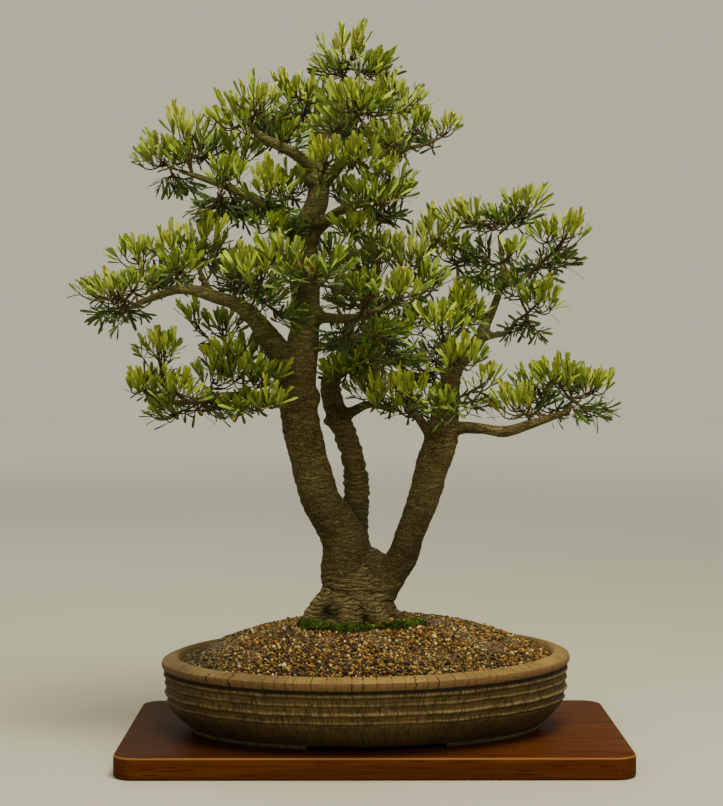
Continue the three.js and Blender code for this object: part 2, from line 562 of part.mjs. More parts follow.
function growTwigs(spray) {
  spray.shoots = [];
  let stem = null;
  for (const tuft of spray.tufts) {
    const start = stem ? stemPlace(stem.route) : spray.start;
    const way = stem ? tuft.foot.clone().sub(start).normalize() : spray.way;
    const twig = growTwig(spray, stem, start, way, tuft);
    stem = stem || twig;
    if (twig) {
      spray.body = spray.body ? spray.body.add(twig.solid) : twig.solid;
      const { across, beside } = ringsAlong(twig.route, twig.route.length - 1).pop();
      spray.shoots.push({ ...tuft, across, beside });
    }
  }
}

// A blunt-ended banksia leaf that widens from its root, just behind the origin, along X
function bladeGeometry(length, grow = 0) {
  const half = BLADE_WIDTH / 2 + grow;
  const outline = new THREE.Shape();
  outline.moveTo(-BLADE_ROOT, 0).lineTo(length + grow, -half).lineTo(length + grow, half).closePath();
  const depth = BLADE_THICKNESS + 2 * grow;
  return new THREE.ExtrudeGeometry(outline, { depth, bevelEnabled: false }).translate(0, 0, -depth / 2);
}

// Placing of leaf number k of a tuft: low leaves spread wide, high ones close round the shoot.
// Each leaf leaves the shoot near the middle of one of its faces
function bladePlace(tuft, order, k, attempt) {
  const share = k / BLADES_PER_TUFT;
  const sidestep = (attempt % 2 ? 1 : -1) * Math.ceil(attempt / 2) * SWING_STEP;
  const swing = LEAF_SWING * Math.sin(order * 1.7 + k * 2.3);
  const angle = (k + 0.5) * 2 * Math.PI / TWIG_SIDES + swing + sidestep;
  const ease = attempt > PITCH_TRIES ? PITCH_STEP : 0;
  const pitch = blend(LOW_PITCH, HIGH_PITCH, share) + OLD_PITCH * tuft.age - ease;
  const out = tuft.across.clone().multiplyScalar(Math.sin(angle));
  out.addScaledVector(tuft.beside, Math.cos(angle));
  const way = out.multiplyScalar(Math.sin(pitch)).addScaledVector(tuft.axis, Math.cos(pitch)).normalize();
  const face = tuft.axis.clone().addScaledVector(way, -tuft.axis.dot(way)).normalize();
  const across = new THREE.Vector3().crossVectors(face, way);
  const height = tuft.size * SHOOT_SHARE * (BLADE_FIRST_PLACE + BLADE_SPREAD * share);
  const root = tuft.foot.clone().addScaledVector(tuft.axis, height);
  return new THREE.Matrix4().makeBasis(way, across, face).setPosition(root);
}

function growBlades(spray) {
  spray.shoots.forEach((tuft, shoot) => {
    const length = tuft.size * BLADE_LENGTH_PER_SIZE;
    const count = tuft.size > SMALL_TUFT ? BLADES_PER_TUFT : BLADES_PER_TUFT - 1;
    for (let k = 0; k < count; k += 1) {
      for (let attempt = 0; attempt < BLADE_TRIES; attempt += 1) {
        const place = bladePlace(tuft, spray.order + shoot * 3, k, attempt);
        if (!meets(spray.name, bladeGeometry(length, GAP).applyMatrix4(place))) {
          const geometry = bladeGeometry(length).applyMatrix4(place);
          const solid = solidOf(geometry);
          stand(spray.name, solid, geometry);
          spray.body = spray.body.add(solid);
          break;
        }
      }
    }
  });
}

// Sides and steps of a root: the crown that carries the trunks is rounder
function rootDetail(name) {
  return name === 'crown' ? [11, 5] : [5, 2];
}

// Roots, trunks and branches grown together
function woodSolid() {
  let wood = null;
  const join = (route, sides, steps, swell) => {
    const geometry = limbGeometry(route, sides, steps, { swell });
    const solid = solidOf(geometry);
    stand('wood', solid, geometry);
    wood = wood ? wood.add(solid) : solid;
  };
  Object.entries(ROOTS).forEach(([name, route]) => join(route, ...rootDetail(name), ROOT_SWELL));
  Object.values(TRUNKS).forEach((route) => join(route, TRUNK_SIDES, route.length - 1, TRUNK_SWELL));
  Object.values(BRANCHES).forEach((route) => join(route, BRANCH_SIDES, route.length - 1, 0));
  return wood;
}

// The hole in the gravel that the foot of the tree stands in
function trunkHoleSolid() {
  let hole = null;
  for (const [name, route] of Object.entries(ROOTS)) {
    const deepEnd = name === 'crown' ? 0 : route.length - 1;
    const deeper = route.map((stop) => [...stop]);
    deeper[deepEnd][2] -= HOLE_CLEARANCE;
    const shape = { swell: ROOT_SWELL, grow: HOLE_CLEARANCE };
    const solid = solidOf(limbGeometry(deeper, ...rootDetail(name), shape));
    hole = hole ? hole.add(solid) : solid;
  }
  return hole;
}

const sprays = planSprays();
const wood = woodSolid();
const trunkHole = trunkHoleSolid();
let gravel = solidOf(gravelGeometry()).subtract(trunkHole);
for (const side of [-1, 1]) {
  gravel = gravel.subtract(plateOverDrain(side, SCREEN_SIZE + 4 * GAP, SCREEN_THICKNESS + 4 * GAP));
}

addPiece('display_board', displayBoard(), finish(0x5a2a1c, 0.4));
addPiece('oval_pot', geometryOf(potSolid()), finish(0x5b4634, 0.75));
addPiece('drain_screen_left', geometryOf(screenSolid(-1)), finish(0x20241f, 0.6));
addPiece('drain_screen_right', geometryOf(screenSolid(1)), finish(0x20241f, 0.6));
addPiece('gravel_bed', geometryOf(gravel), finish(0x7a5a38, 0.95));
addPiece('moss', geometryOf(mossSolid(gravel, trunkHole)), finish(0x3f5a1c, 1));
addPiece('trunk_and_branches', geometryOf(wood), finish(0x5d5440, 0.9));

sprays.forEach(growTwigs);
sprays.forEach(growBlades);
for (const spray of sprays.filter(({ body }) => body)) {
  const age = spray.tufts.reduce((sum, tuft) => sum + tuft.age, 0) / spray.tufts.length;
  const leaf = new THREE.Color(0x8a9a45).lerp(new THREE.Color(0x33442a), age);
  addPiece(`spray_${spray.name}`, geometryOf(spray.body), finish(leaf, 0.6));
}

export default bonsai;
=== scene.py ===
# %% [markdown]
# A silver banksia grown as a bonsai: three trunks from one flared foot, narrow leaves in upright shoots,
# a bed of mixed gravel, an oval stoneware pot and a polished board. The solid model of the tree is loaded
# as a fixed frame. Everything made here stands where that frame says, in metres, with +Z up.

# %% The fixed frame
import math
import random

import bmesh
import bpy
import numpy as np
from mathutils import Matrix, Vector, kdtree, noise


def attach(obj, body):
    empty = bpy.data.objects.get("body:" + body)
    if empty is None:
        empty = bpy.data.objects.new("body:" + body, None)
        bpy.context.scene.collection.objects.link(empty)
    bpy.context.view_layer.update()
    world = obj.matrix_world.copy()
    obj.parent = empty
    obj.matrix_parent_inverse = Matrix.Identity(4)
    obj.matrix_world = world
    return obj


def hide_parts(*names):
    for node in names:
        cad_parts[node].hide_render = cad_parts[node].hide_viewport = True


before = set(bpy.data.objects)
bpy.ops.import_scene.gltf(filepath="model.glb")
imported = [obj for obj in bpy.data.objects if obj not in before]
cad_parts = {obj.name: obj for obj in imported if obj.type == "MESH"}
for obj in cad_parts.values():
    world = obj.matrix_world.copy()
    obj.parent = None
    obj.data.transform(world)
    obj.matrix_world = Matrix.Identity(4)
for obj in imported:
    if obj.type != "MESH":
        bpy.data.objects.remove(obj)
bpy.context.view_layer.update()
MM = 0.001

# %% [markdown]
# The camera comes first, because all the rest is seen through it. The tree was seen from 2.4 m away,
# a little above its lowest branches and looking down by about a degree and a half. A long lens keeps the
# pot's ellipse as flat as it is there.

# %% Camera
bpy.ops.object.camera_add(
    location=(-0.027, -2.382, 0.525),
    rotation=(math.radians(88.41), 0, math.radians(-0.27)),
)
camera = bpy.context.object
camera.name = "camera"
camera.data.lens = 80.4
bpy.context.scene.camera = camera
print("camera at", tuple(round(v, 3) for v in camera.location))

# %% [markdown]
# A studio for a plant needs soft light from above, so that the leaves shade each other but no hard shadow
# cuts the pot. One large panel hangs over the front right, weaker ones fill from the right, from behind
# and from the front left, and the pale surroundings do the rest. The floor is only a stage, and it isn't
# part of the object.

# %% Floor and light
bpy.ops.mesh.primitive_plane_add(size=24, location=(0, 0, -0.0005))
floor = bpy.context.object
floor.name = "floor"
WARM_WHITE = (1.0, 0.94, 0.80)
ROOM_TONE = (0.60, 0.58, 0.43, 1)


def light_panel(name, place, aim, size, power):
    """A square soft, slightly warm light at one place that faces another."""
    bpy.ops.object.light_add(type="AREA", location=place)
    panel = bpy.context.object
    panel.name = name
    panel.data.shape = "SQUARE"
    panel.data.size = size
    panel.data.energy = power
    panel.data.color = WARM_WHITE
    panel.rotation_euler = (Vector(aim) - Vector(place)).to_track_quat("-Z", "Y").to_euler()


light_panel("panel_above", (0.4, -0.9, 2.6), (0, 0, 0.4), 1.1, 112)
light_panel("panel_right", (2.2, -1.8, 1.5), (0, 0, 0.4), 1.6, 24)
light_panel("panel_behind", (-1.2, 2.2, 2.2), (0, 0, 0.5), 1.2, 26)
light_panel("panel_front", (-1.3, -2.6, 0.9), (0, 0, 0.55), 1.6, 13)
world = bpy.data.worlds.new("pale_room")
bpy.context.scene.world = world
world.use_nodes = True
background = world.node_tree.nodes["Background"]
background.inputs["Color"].default_value = ROOM_TONE
background.inputs["Strength"].default_value = 0.95

# %% [markdown]
# Materials here are written as sums. A small class holds one output socket and lets it be added,
# multiplied and compared, and each sign becomes a Math node. A second class holds one material, and its
# single method makes every other kind of node: its settings are set first and its sockets are fed after.

# %% Sums of sockets


class Level:
    """One output socket of a finish, ready for sums."""

    def __init__(self, finish, socket):
        self.finish = finish
        self.socket = socket

    def sum(self, operation, first, second=0.0):
        """One Math node."""
        return self.finish.node("ShaderNodeMath", {"operation": operation}, {0: first, 1: second})

    def __add__(self, other):
        return self.sum("ADD", self, other)

    def __radd__(self, other):
        return self.sum("ADD", other, self)

    def __sub__(self, other):
        return self.sum("SUBTRACT", self, other)

    def __rsub__(self, other):
        return self.sum("SUBTRACT", other, self)

    def __mul__(self, other):
        return self.sum("MULTIPLY", self, other)

    def __truediv__(self, other):
        return self.sum("DIVIDE", self, other)

    def sine(self):
        return self.sum("SINE", self)

    def size(self):
        return self.sum("ABSOLUTE", self)

    def between(self, low, high):
        """0 up to low, 1 from high on, and a soft step in between."""
        return self.finish.node(
            "ShaderNodeMapRange",
            {"interpolation_type": "SMOOTHSTEP"},
            {"Value": self, "From Min": low, "From Max": high},
        )


# %% A material and its nodes


class Finish:
    """A material named for what it covers."""

    def __init__(self, name, **constants):
        self.material = bpy.data.materials.new(name)
        self.material.use_nodes = True
        self.tree = self.material.node_tree
        self.shader = self.tree.nodes["Principled BSDF"]
        for socket, value in constants.items():
            self.shader.inputs[socket.replace("_", " ")].default_value = value
        self.places = self.node("ShaderNodeTexCoord", output="Object")

    def node(self, kind, settings=None, sockets=None, output=0):
        """Adds a node, sets it, feeds its inputs and gives one of its outputs."""
        node = self.tree.nodes.new(kind)
        for name, value in (settings or {}).items():
            if name == "stops":
                self.set_stops(node.color_ramp, value)
            elif name == "steps":
                node.color_ramp.interpolation = value
            else:
                setattr(node, name, value)
        for name, value in (sockets or {}).items():
            self.feed(node.inputs[name], value)
        return Level(self, node.outputs[output])

    def set_stops(self, ramp, stops):
        """Puts colours on a ramp, each as (position, colour)."""
        while len(ramp.elements) < len(stops):
            ramp.elements.new(1)
        for element, (position, color) in zip(ramp.elements, stops):
            element.position = position
            element.color = (*color, 1)

    def feed(self, socket, value):
        """Links a level to a socket, or sets the socket to a number or a colour."""
        if isinstance(value, Level):
            self.tree.links.new(value.socket, socket)
        elif isinstance(value, tuple) and socket.type == "RGBA":
            socket.default_value = (*value, 1)
        else:
            socket.default_value = value

    def placed(self, scale=(1, 1, 1), turn=(0, 0, 0), shift=(0, 0, 0), source=None):
        """The object's own coordinates, stretched, turned or shifted."""
        return self.node(
            "ShaderNodeMapping",
            sockets={"Vector": source or self.places, "Scale": scale, "Rotation": turn, "Location": shift},
        )

    def cloud(self, where, scale, detail=4.0, rough=0.55, warp=0.0):
        """Soft noise from 0 to 1."""
        return self.node(
            "ShaderNodeTexNoise",
            sockets={
                "Vector": where, "Scale": scale, "Detail": detail, "Roughness": rough, "Distortion": warp
            },
        )

    def cells(self, where, scale, feature="F1", output="Distance"):
        """Cell pattern: the distance to the nearest point, or to the edge between two cells."""
        return self.node(
            "ShaderNodeTexVoronoi", {"feature": feature}, {"Vector": where, "Scale": scale}, output
        )

    def part(self, axis, places=None):
        """One coordinate, X, Y or Z, of a place."""
        return self.node("ShaderNodeSeparateXYZ", sockets={0: places or self.places}, output=axis)

    def ramp(self, level, stops, steps="LINEAR"):
        """A colour read from a row of stops."""
        return self.node("ShaderNodeValToRGB", {"stops": stops, "steps": steps}, {0: level})

    def mix(self, share, first, second):
        """The first colour where share is 0 and the second where it is 1."""
        settings = {"data_type": "RGBA", "clamp_factor": True}
        return self.node("ShaderNodeMix", settings, {0: share, 6: first, 7: second}, output=2)

    def covered(self, tone, *layers):
        """A tone with colours laid over it one after the other, each as (share, colour)."""
        for share, color in layers:
            tone = self.mix(share, tone, color)
        return tone

    def stored(self, name):
        """A value that the mesh keeps for each point or face."""
        return self.node("ShaderNodeAttribute", {"attribute_name": name}, output="Fac")

    def relief(self, height, depth, strength=1.0, base=None):
        """A bump of the given depth in metres, laid over another one if there is one."""
        sockets = {"Height": height, "Distance": depth, "Strength": strength}
        if base:
            sockets["Normal"] = base
        return self.node("ShaderNodeBump", sockets=sockets)

    def wear(self, **sockets):
        """Feeds the surface sockets."""
        for socket, value in sockets.items():
            self.feed(self.shader.inputs[socket.replace("_", " ")], value)
        return self.material


# %% [markdown]
# The floor takes the first finish written this way: a pale, faintly cloudy paper. Near the object it is
# painted darker as shade, and it grows whiter far away, so that it runs into the pale surroundings
# without a line.

# %% Floor finish
paper = Finish("pale_paper", Roughness=0.9)
paper_cloud = paper.cloud(paper.places, 3.0)
paper_reach = paper.node("ShaderNodeVectorMath", {"operation": "LENGTH"}, {0: paper.places}, output=1)
# Painted shade: the paper near the object is darker than the paper far away.
shaded_near_paper = paper.mix(paper_cloud, (0.345, 0.335, 0.26), (0.375, 0.365, 0.285))
paper.wear(Base_Color=paper.mix(paper_reach.between(0.6, 8.0), shaded_near_paper, (0.97, 0.97, 0.95)))
floor.data.materials.append(paper.material)
print("finish:", paper.material.name)

# %% [markdown]
# Every piece ends the same way: it gets its name and its finish, it rides on the object's one body, and
# it may stand for a solid of the frame, which is then no longer shown. A new primitive is made with
# nothing else selected, because an operator works on all that is selected.

# %% Helpers for pieces
made = {}


def only(*pieces):
    """Selects these pieces alone, with the first one active."""
    bpy.ops.object.select_all(action="DESELECT")
    for piece in pieces:
        piece.select_set(True)
    bpy.context.view_layer.objects.active = pieces[0]


def dress(piece, finish):
    """Gives a piece one finish in place of any that it has."""
    piece.data.materials.clear()
    piece.data.materials.append(finish.material)


def settle(piece, name, finish=None, stands_for=()):
    """Puts the piece's place into its mesh and hands it to the frame."""
    only(piece)
    bpy.ops.object.transform_apply(location=True, rotation=True, scale=True)
    piece.name = name
    piece.data.name = name
    if finish:
        dress(piece, finish)
    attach(piece, "root")
    if stands_for:
        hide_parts(*stands_for)
    made[name] = sum(len(polygon.vertices) - 2 for polygon in piece.data.polygons)


def finished(piece, kind, **settings):
    """Adds a modifier to a piece and applies it."""
    only(piece)
    modifier = piece.modifiers.new(kind.lower(), kind)
    for name, value in settings.items():
        setattr(modifier, name, value)
    bpy.ops.object.modifier_apply(modifier=modifier.name)


print("helpers ready")

# %% [markdown]
# The display board is one thick slab of red-brown timber with round corners and softly eased edges. A
# cube is stretched to the slab's size. Bevelling its four upright edges rounds the corners, and a second,
# small bevel along the top and bottom outlines gives the line of light that a planed edge shows.

# %% Display board
BOARD = (0.650, 0.370, 0.028)
BOARD_CORNER = 0.028
BOARD_EASE = 0.0028


def select_edges(piece, wanted):
    """In edit mode, selects the edges for which wanted(edge) is true."""
    bpy.ops.mesh.select_mode(type="EDGE")
    bpy.ops.mesh.select_all(action="DESELECT")
    shape = bmesh.from_edit_mesh(piece.data)
    chosen = [edge for edge in shape.edges if wanted(edge)]
    for edge in chosen:
        edge.select_set(True)
    shape.select_flush_mode()
    bmesh.update_edit_mesh(piece.data)
    return len(chosen)


def is_upright(edge):
    along = edge.verts[0].co - edge.verts[1].co
    return abs(along.z) > 0.9 * along.length


def is_outline(edge):
    """True between a level face and an upright one."""
    tilts = sorted(abs(face.normal.z) for face in edge.link_faces)
    return len(tilts) == 2 and tilts[0] < 0.3 and tilts[1] > 0.9


bpy.ops.object.select_all(action="DESELECT")
bpy.ops.mesh.primitive_cube_add(size=1, location=(0, 0, BOARD[2] / 2), scale=BOARD)
board = bpy.context.object
bpy.ops.object.transform_apply(location=True, rotation=True, scale=True)
bpy.ops.object.mode_set(mode="EDIT")
select_edges(board, is_upright)
bpy.ops.mesh.bevel(offset=BOARD_CORNER, segments=10, affect="EDGES")
outline = select_edges(board, is_outline)
bpy.ops.mesh.bevel(offset=BOARD_EASE, segments=3, affect="EDGES")
bpy.ops.object.mode_set(mode="OBJECT")
bpy.ops.object.shade_smooth_by_angle(angle=math.radians(35))
print("outline edges eased:", outline, "size:", tuple(round(v, 3) for v in board.dimensions))

# %% [markdown]
# Polished red timber has long grain along the board. Noise drawn out thirty times along X makes the
# fibres, a slower noise makes the broad dark and light bands, and short dark pores lie between them. The
# eased upper edge is lighter, a painted highlight. The upper side is painted darker than the front as
# shade, most of all at the left end, and this painted shade lessens towards the right end.

# %% Board finish
timber = Finish("polished_red_timber", Specular_IOR_Level=0.018)
grain_places = timber.placed(scale=(1.6, 14, 60))
bands = timber.cloud(grain_places, 3.2, 5.0, 0.6, 0.8)
fibres = timber.cloud(timber.placed(scale=(3, 90, 130)), 9.0, 6.0, 0.7)
pores = timber.cells(timber.placed(scale=(18, 420, 420)), 1.0).between(0.10, 0.32)
timber_tone = timber.ramp(
    bands * 0.7 + fibres * 0.3,
    [(0.28, (0.034, 0.0100, 0.0026)), (0.48, (0.063, 0.0180, 0.0038)), (0.70, (0.092, 0.0290, 0.0062))],
)
timber_level = timber.part("Z")
# Painted highlight: the eased upper edge is lighter.
eased = timber_level.between(0.0250, 0.0262) * (1 - timber_level.between(0.0272, 0.0279))
timber_wear = timber.cloud(timber.places, 11.0, 3.0)
# Painted shade: the top is darker than the front, most at the left end and less towards the right end.
shaded_top = timber_level.between(0.0274, 0.0279)
less_shade_right = timber.part("X").between(-0.30, 0.32)
timber_tone = timber.mix(shaded_top * (0.72 - less_shade_right * 0.62), timber_tone, (0.018, 0.0052, 0.0010))
timber_tone = timber.mix(pores, (0.012, 0.003, 0.001), timber_tone)
timber.wear(
    Base_Color=timber.mix(eased * 0.5, timber_tone, (0.300, 0.130, 0.036)),
    Roughness=0.42 + timber_wear * 0.22,
    Normal=timber.relief(fibres * 0.6 + pores * 0.4, 0.00025, 0.5),
)
settle(board, "board", timber, ["display_board"])
print("board:", made["board"], "triangles")

# %% [markdown]
# The pot was thrown or coiled by hand in coarse brown clay: a foot ring, a belly with ridges that run
# round it like cords, a deep groove and a slanted rim. Its cut outline is drawn as a chain of vertices
# and spun round the upright axis. An oval pot is such a pot pressed narrower front to back, more at the
# foot than at the rim, so each vertex is pressed by its height afterwards.

# %% Outline of the pot
POT_HEIGHT = 0.098
POT_PLACE = Vector((-0.009, 0, 0.02835))
POT_TURN = math.radians(5)
RIM_NARROWING = 0.778
FOOT_NARROWING = 0.655
RIM_RISE = 0.011
POT_OUTLINE = [
    (0, 9), (206, 9), (207, 1.5), (208.5, 0), (230, 0), (232, 1.2), (233.6, 4.0), (233.2, 6.4), (236, 9),
    (243, 14.5), (249, 20), (254.5, 26), (258.8, 31.5), (261.6, 36), (263.2, 39.4), (264.4, 41.2),
    (264, 43), (262.8, 45), (263.6, 48), (265.2, 50.8), (267.2, 53), (267.4, 54.8), (265.8, 56.6),
    (264.9, 60), (265.4, 63.6), (266.9, 65.6), (267.2, 67.2), (266, 69), (265.4, 72), (266.2, 75.2),
    (268.4, 77.6), (268.2, 79.6), (266, 81.2), (264.6, 83.6), (266.6, 85.2), (269.2, 86.6),
    (270.6, 89), (270.7, 92.5), (269.8, 95.4), (266.6, 97.4), (262, 99.4), (257.6, 101.2),
    (254.6, 102), (251, 101.2), (248.4, 98.6), (246.4, 90), (243.5, 75), (240, 60), (232.5, 44),
    (222, 28), (208, 22), (0, 22),
]


def oval(point):
    """A point of the round pot, in its place on the oval one."""
    height = min(max(point.z / POT_HEIGHT, 0), 1)
    narrowing = FOOT_NARROWING + (RIM_NARROWING - FOOT_NARROWING) * height
    pressed = Vector((point.x, point.y * narrowing, point.z + point.x * RIM_RISE * height))
    return Matrix.Rotation(POT_TURN, 3, "Z") @ pressed + POT_PLACE


bpy.ops.object.select_all(action="DESELECT")
bpy.ops.mesh.primitive_circle_add(vertices=len(POT_OUTLINE), radius=0.1)
pot = bpy.context.object
for vertex, (radius, height) in zip(pot.data.vertices, POT_OUTLINE):
    vertex.co = (radius * MM, 0, height * MM)
bpy.ops.object.mode_set(mode="EDIT")
on_axis = select_edges(pot, lambda edge: all(vertex.co.x < 1e-6 for vertex in edge.verts))
bpy.ops.mesh.delete(type="EDGE")
bpy.ops.mesh.select_all(action="SELECT")
bpy.ops.mesh.spin(steps=216, angle=math.tau, center=(0, 0, 0), axis=(0, 0, 1))
bpy.ops.mesh.select_all(action="SELECT")
bpy.ops.mesh.remove_doubles(threshold=1e-5)
bpy.ops.mesh.normals_make_consistent(inside=False)
bpy.ops.object.mode_set(mode="OBJECT")
print("closing edges removed:", on_axis, "faces spun:", len(pot.data.polygons))

# %% [markdown]
# Nothing on a hand-made pot is quite straight. The four ridges swell and thin out as they go round, and
# the rim wanders by half a millimetre. Each vertex is moved a little by noise that is read round the pot,
# before the pot is pressed oval.

# %% Hand-made surface
RIDGES = [(41.5, 1.6), (54, 2.0), (66.6, 1.6), (78.6, 1.6)]
RIDGE_SWELL = 0.0019


def hand_made(point):
    """How far the clay stands out at one place of the round pot, in metres."""
    height = point.z / MM
    turn = math.atan2(point.y, point.x)
    ring = Vector((math.cos(turn) * 0.27, math.sin(turn) * 0.27, point.z))
    push = 0.0006 * noise.noise(ring * 16) + 0.0003 * noise.noise(ring * 70)
    for level, width in RIDGES:
        near = max(0, 1 - abs(height - level) / (2 * width))
        push += near * RIDGE_SWELL * noise.noise(ring * 34 + Vector((level, 0, 0)))
    return push


for vertex in pot.data.vertices:
    out = math.hypot(vertex.co.x, vertex.co.y)
    if out > 0.235 and vertex.co.z > 0.012:
        swell = 1 + hand_made(vertex.co) / out
        vertex.co.x *= swell
        vertex.co.y *= swell
    vertex.co = oval(vertex.co)
pot.data.update()
print("pot size:", tuple(round(v, 3) for v in pot.dimensions))

# %% [markdown]
# A foot ring that touched all round would trap water, so it is cut away in the middle of each long side,
# and two drainage holes go through the floor. A cutter is made for each and taken away by a Boolean.

# %% Foot openings and drainage holes
OPENING = (0.176, 0.6, 0.015)
DRAIN_REACH = 0.115
DRAIN_RADIUS = 0.011


def cut_away(piece, cutter):
    """Takes one closed piece out of another and removes it."""
    finished(piece, "BOOLEAN", object=cutter, operation="DIFFERENCE", solver="EXACT")
    bpy.data.objects.remove(cutter)


bpy.ops.object.select_all(action="DESELECT")
bpy.ops.mesh.primitive_cube_add(
    size=1, location=(POT_PLACE.x, 0, BOARD[2]), scale=OPENING, rotation=(0, 0, POT_TURN)
)
cut_away(pot, bpy.context.object)
for side in (-1, 1):
    reach = side * DRAIN_REACH
    place = (POT_PLACE.x + reach * math.cos(POT_TURN), reach * math.sin(POT_TURN), 0.045)
    bpy.ops.object.select_all(action="DESELECT")
    bpy.ops.mesh.primitive_cylinder_add(vertices=32, radius=DRAIN_RADIUS, depth=0.05, location=place)
    cut_away(pot, bpy.context.object)
only(pot)
bpy.ops.object.shade_smooth_by_angle(angle=math.radians(40))
print("pot faces:", len(pot.data.polygons))

# %% [markdown]
# The clay finish follows the pot's round, so it is read by angle and height. Upright cracks cross the
# rim every centimetre or so, and finer ones run down the wall. The rim caught more flame and is yellow,
# its edge is pinkish and the wall is dark brown. Painted shade darkens the pot at the left end, the wall
# under the belly, the groove under the rim and the hollow below each ridge, and the crests of the ridges
# carry a painted highlight in short dashes.

# %% Clay finish
clay = Finish("fired_brown_clay", Specular_IOR_Level=0.2)
level_places = clay.placed(shift=(0.009, 0, -0.02835))
level_places = clay.placed(turn=(0, 0, -POT_TURN), source=level_places)
east, north, height = (clay.part(axis, level_places) for axis in "XYZ")
height = height - east * RIM_RISE * (height / POT_HEIGHT)
turn = east.sum("ARCTAN2", east, north * -1.34)
out = east.sum("SQRT", east * east + north * north * 1.8)
run = turn * 0.26


def round_the_pot(along, up):
    """Places by distance round the pot and by height, both stretched."""
    return clay.node("ShaderNodeCombineXYZ", sockets={0: run * along, 1: height * up, 2: out * up})


jitter = clay.cloud(round_the_pot(40, 260), 1.0, 2.0) - 0.5
spacing = clay.cloud(round_the_pot(24, 0), 1.0, 2.0) * 9
splits = (run * 205 + spacing + jitter * 0.9).sine().size()
hairs = clay.cells(
    clay.node("ShaderNodeCombineXYZ", sockets={0: run * 210 + jitter * 0.9, 1: height * 26}),
    1.0, "DISTANCE_TO_EDGE",
)
grit = clay.cloud(round_the_pot(620, 900), 1.0, 4.0, 0.75)
strokes = clay.cloud(round_the_pot(30, 620), 1.0, 5.0, 0.7)
blotches = clay.cloud(clay.places, 15.0, 4.0)
drift = clay.cloud(round_the_pot(16, 0), 1.0, 2.0)
dashes = clay.cloud(round_the_pot(170, 40), 1.0, 3.0).between(0.30, 0.55) * drift.between(0.30, 0.62)
wandering = height + (drift - 0.5) * 0.0050


def band(low, high, soft=0.0015, where=height):
    """1 between two heights above the foot, in metres."""
    return where.between(low - soft, low + soft) * (1 - where.between(high - soft, high + soft))


rim = height.between(0.0835, 0.0865)
rim_slope = height.between(0.0945, 0.0965)
split_depth = clay.cloud(round_the_pot(18, 60), 1.0, 2.0).between(0.36, 0.56)
split_lines = (1 - splits.between(0.05, 0.16)) * split_depth
hair_lines = (1 - hairs.between(0.01, 0.11)) * (1 - rim * 0.75) * grit.between(0.30, 0.52)
# Painted shade: the pot, rim included, is darker towards the left end.
left_shade_clay = 1 - (east + (blotches - 0.5) * 0.12).between(-0.25, -0.08)
groove = band(0.0805, 0.0855, 0.0012)
# Painted highlight: the crests of the ridges are lighter, in short dashes.
crest = (
    band(0.0765, 0.0803, 0.0013, wandering) * 0.70 + band(0.0648, 0.0678, 0.0012, wandering) * 0.80
    + band(0.0522, 0.0560, 0.0012, wandering) + band(0.0412, 0.0440, 0.0011, wandering) * 0.70
)
# Painted shade: the hollows below the crests are darker.
hollow = (
    band(0.0735, 0.0765, 0.0010, wandering) + band(0.0628, 0.0650, 0.0010, wandering)
    + band(0.0495, 0.0522, 0.0010, wandering) + band(0.0385, 0.0412, 0.0010, wandering)
)
wall_tone = clay.ramp(
    strokes * 0.45 + blotches * 0.25 + grit * 0.30,
    [(0.30, (0.0120, 0.0075, 0.0018)), (0.44, (0.052, 0.0320, 0.0078)), (0.56, (0.115, 0.072, 0.0180)),
     (0.70, (0.230, 0.152, 0.052))],
)
rim_tone = clay.ramp(
    strokes * 0.25 + blotches * 0.35 + grit * 0.40,
    [(0.36, (0.048, 0.027, 0.005)), (0.50, (0.150, 0.092, 0.020)), (0.64, (0.270, 0.178, 0.052))],
)
lip_tone = clay.ramp(
    strokes * 0.35 + grit * 0.65,
    [(0.37, (0.066, 0.034, 0.010)), (0.63, (0.225, 0.125, 0.052))],
)
tone = clay.covered(
    wall_tone,
    (hollow * 0.50, (0.012, 0.0078, 0.0024)),
    (crest * (0.25 + dashes * 0.75) * grit.between(0.25, 0.60) * 0.85, (0.360, 0.250, 0.115)),
    (grit.between(0.60, 0.72) * 0.35, (0.220, 0.150, 0.060)),
    # Painted shade: the wall under the belly, towards the foot, is darker.
    ((1 - height.between(0.026, 0.044)) * 0.50, (0.022, 0.015, 0.005)),
    (rim, lip_tone),
    (rim_slope, rim_tone),
    ((1 - height.between(0.0045, 0.0085)) * 0.7, (0.052, 0.043, 0.024)),
    (band(0.0050, 0.0072, 0.0008) * dashes * 0.6, (0.160, 0.130, 0.080)),
    (left_shade_clay * 0.45, (0.045, 0.028, 0.008)),
    # Painted shade: the groove under the rim is nearly black.
    (groove * 0.92, (0.008, 0.005, 0.002)),
    (split_lines * (0.30 + rim * 0.60), (0.008, 0.005, 0.002)),
    (hair_lines * 0.72, (0.010, 0.0065, 0.002)),
)
clay_relief = clay.relief(grit * 0.5 + strokes * 0.5, 0.0009, 0.7)
clay_relief = clay.relief(
    1 - split_lines * (0.3 + rim * 0.7) - hair_lines * 0.35 + (crest - hollow) * (1 - rim) * 0.8,
    0.0012, 0.8, clay_relief,
)
clay.wear(Base_Color=tone, Roughness=0.62 + grit * 0.25, Normal=clay_relief)
settle(pot, "pot", clay, ["oval_pot"])
print("pot:", made["pot"], "triangles")

# %% [markdown]
# The mesh over the drainage holes stays as the frame has it. It only needs its dark, slightly scuffed
# plastic.

# %% Drainage mesh finish
mesh_plastic = Finish("dark_garden_plastic")
scuffs = mesh_plastic.cloud(mesh_plastic.places, 240.0, 4.0)
mesh_plastic.wear(
    Base_Color=mesh_plastic.mix(scuffs, (0.012, 0.016, 0.012), (0.040, 0.050, 0.036)),
    Roughness=0.45 + scuffs * 0.3,
)
for name in ("drain_screen_left", "drain_screen_right"):
    dress(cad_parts[name], mesh_plastic)
print("drainage mesh finished")

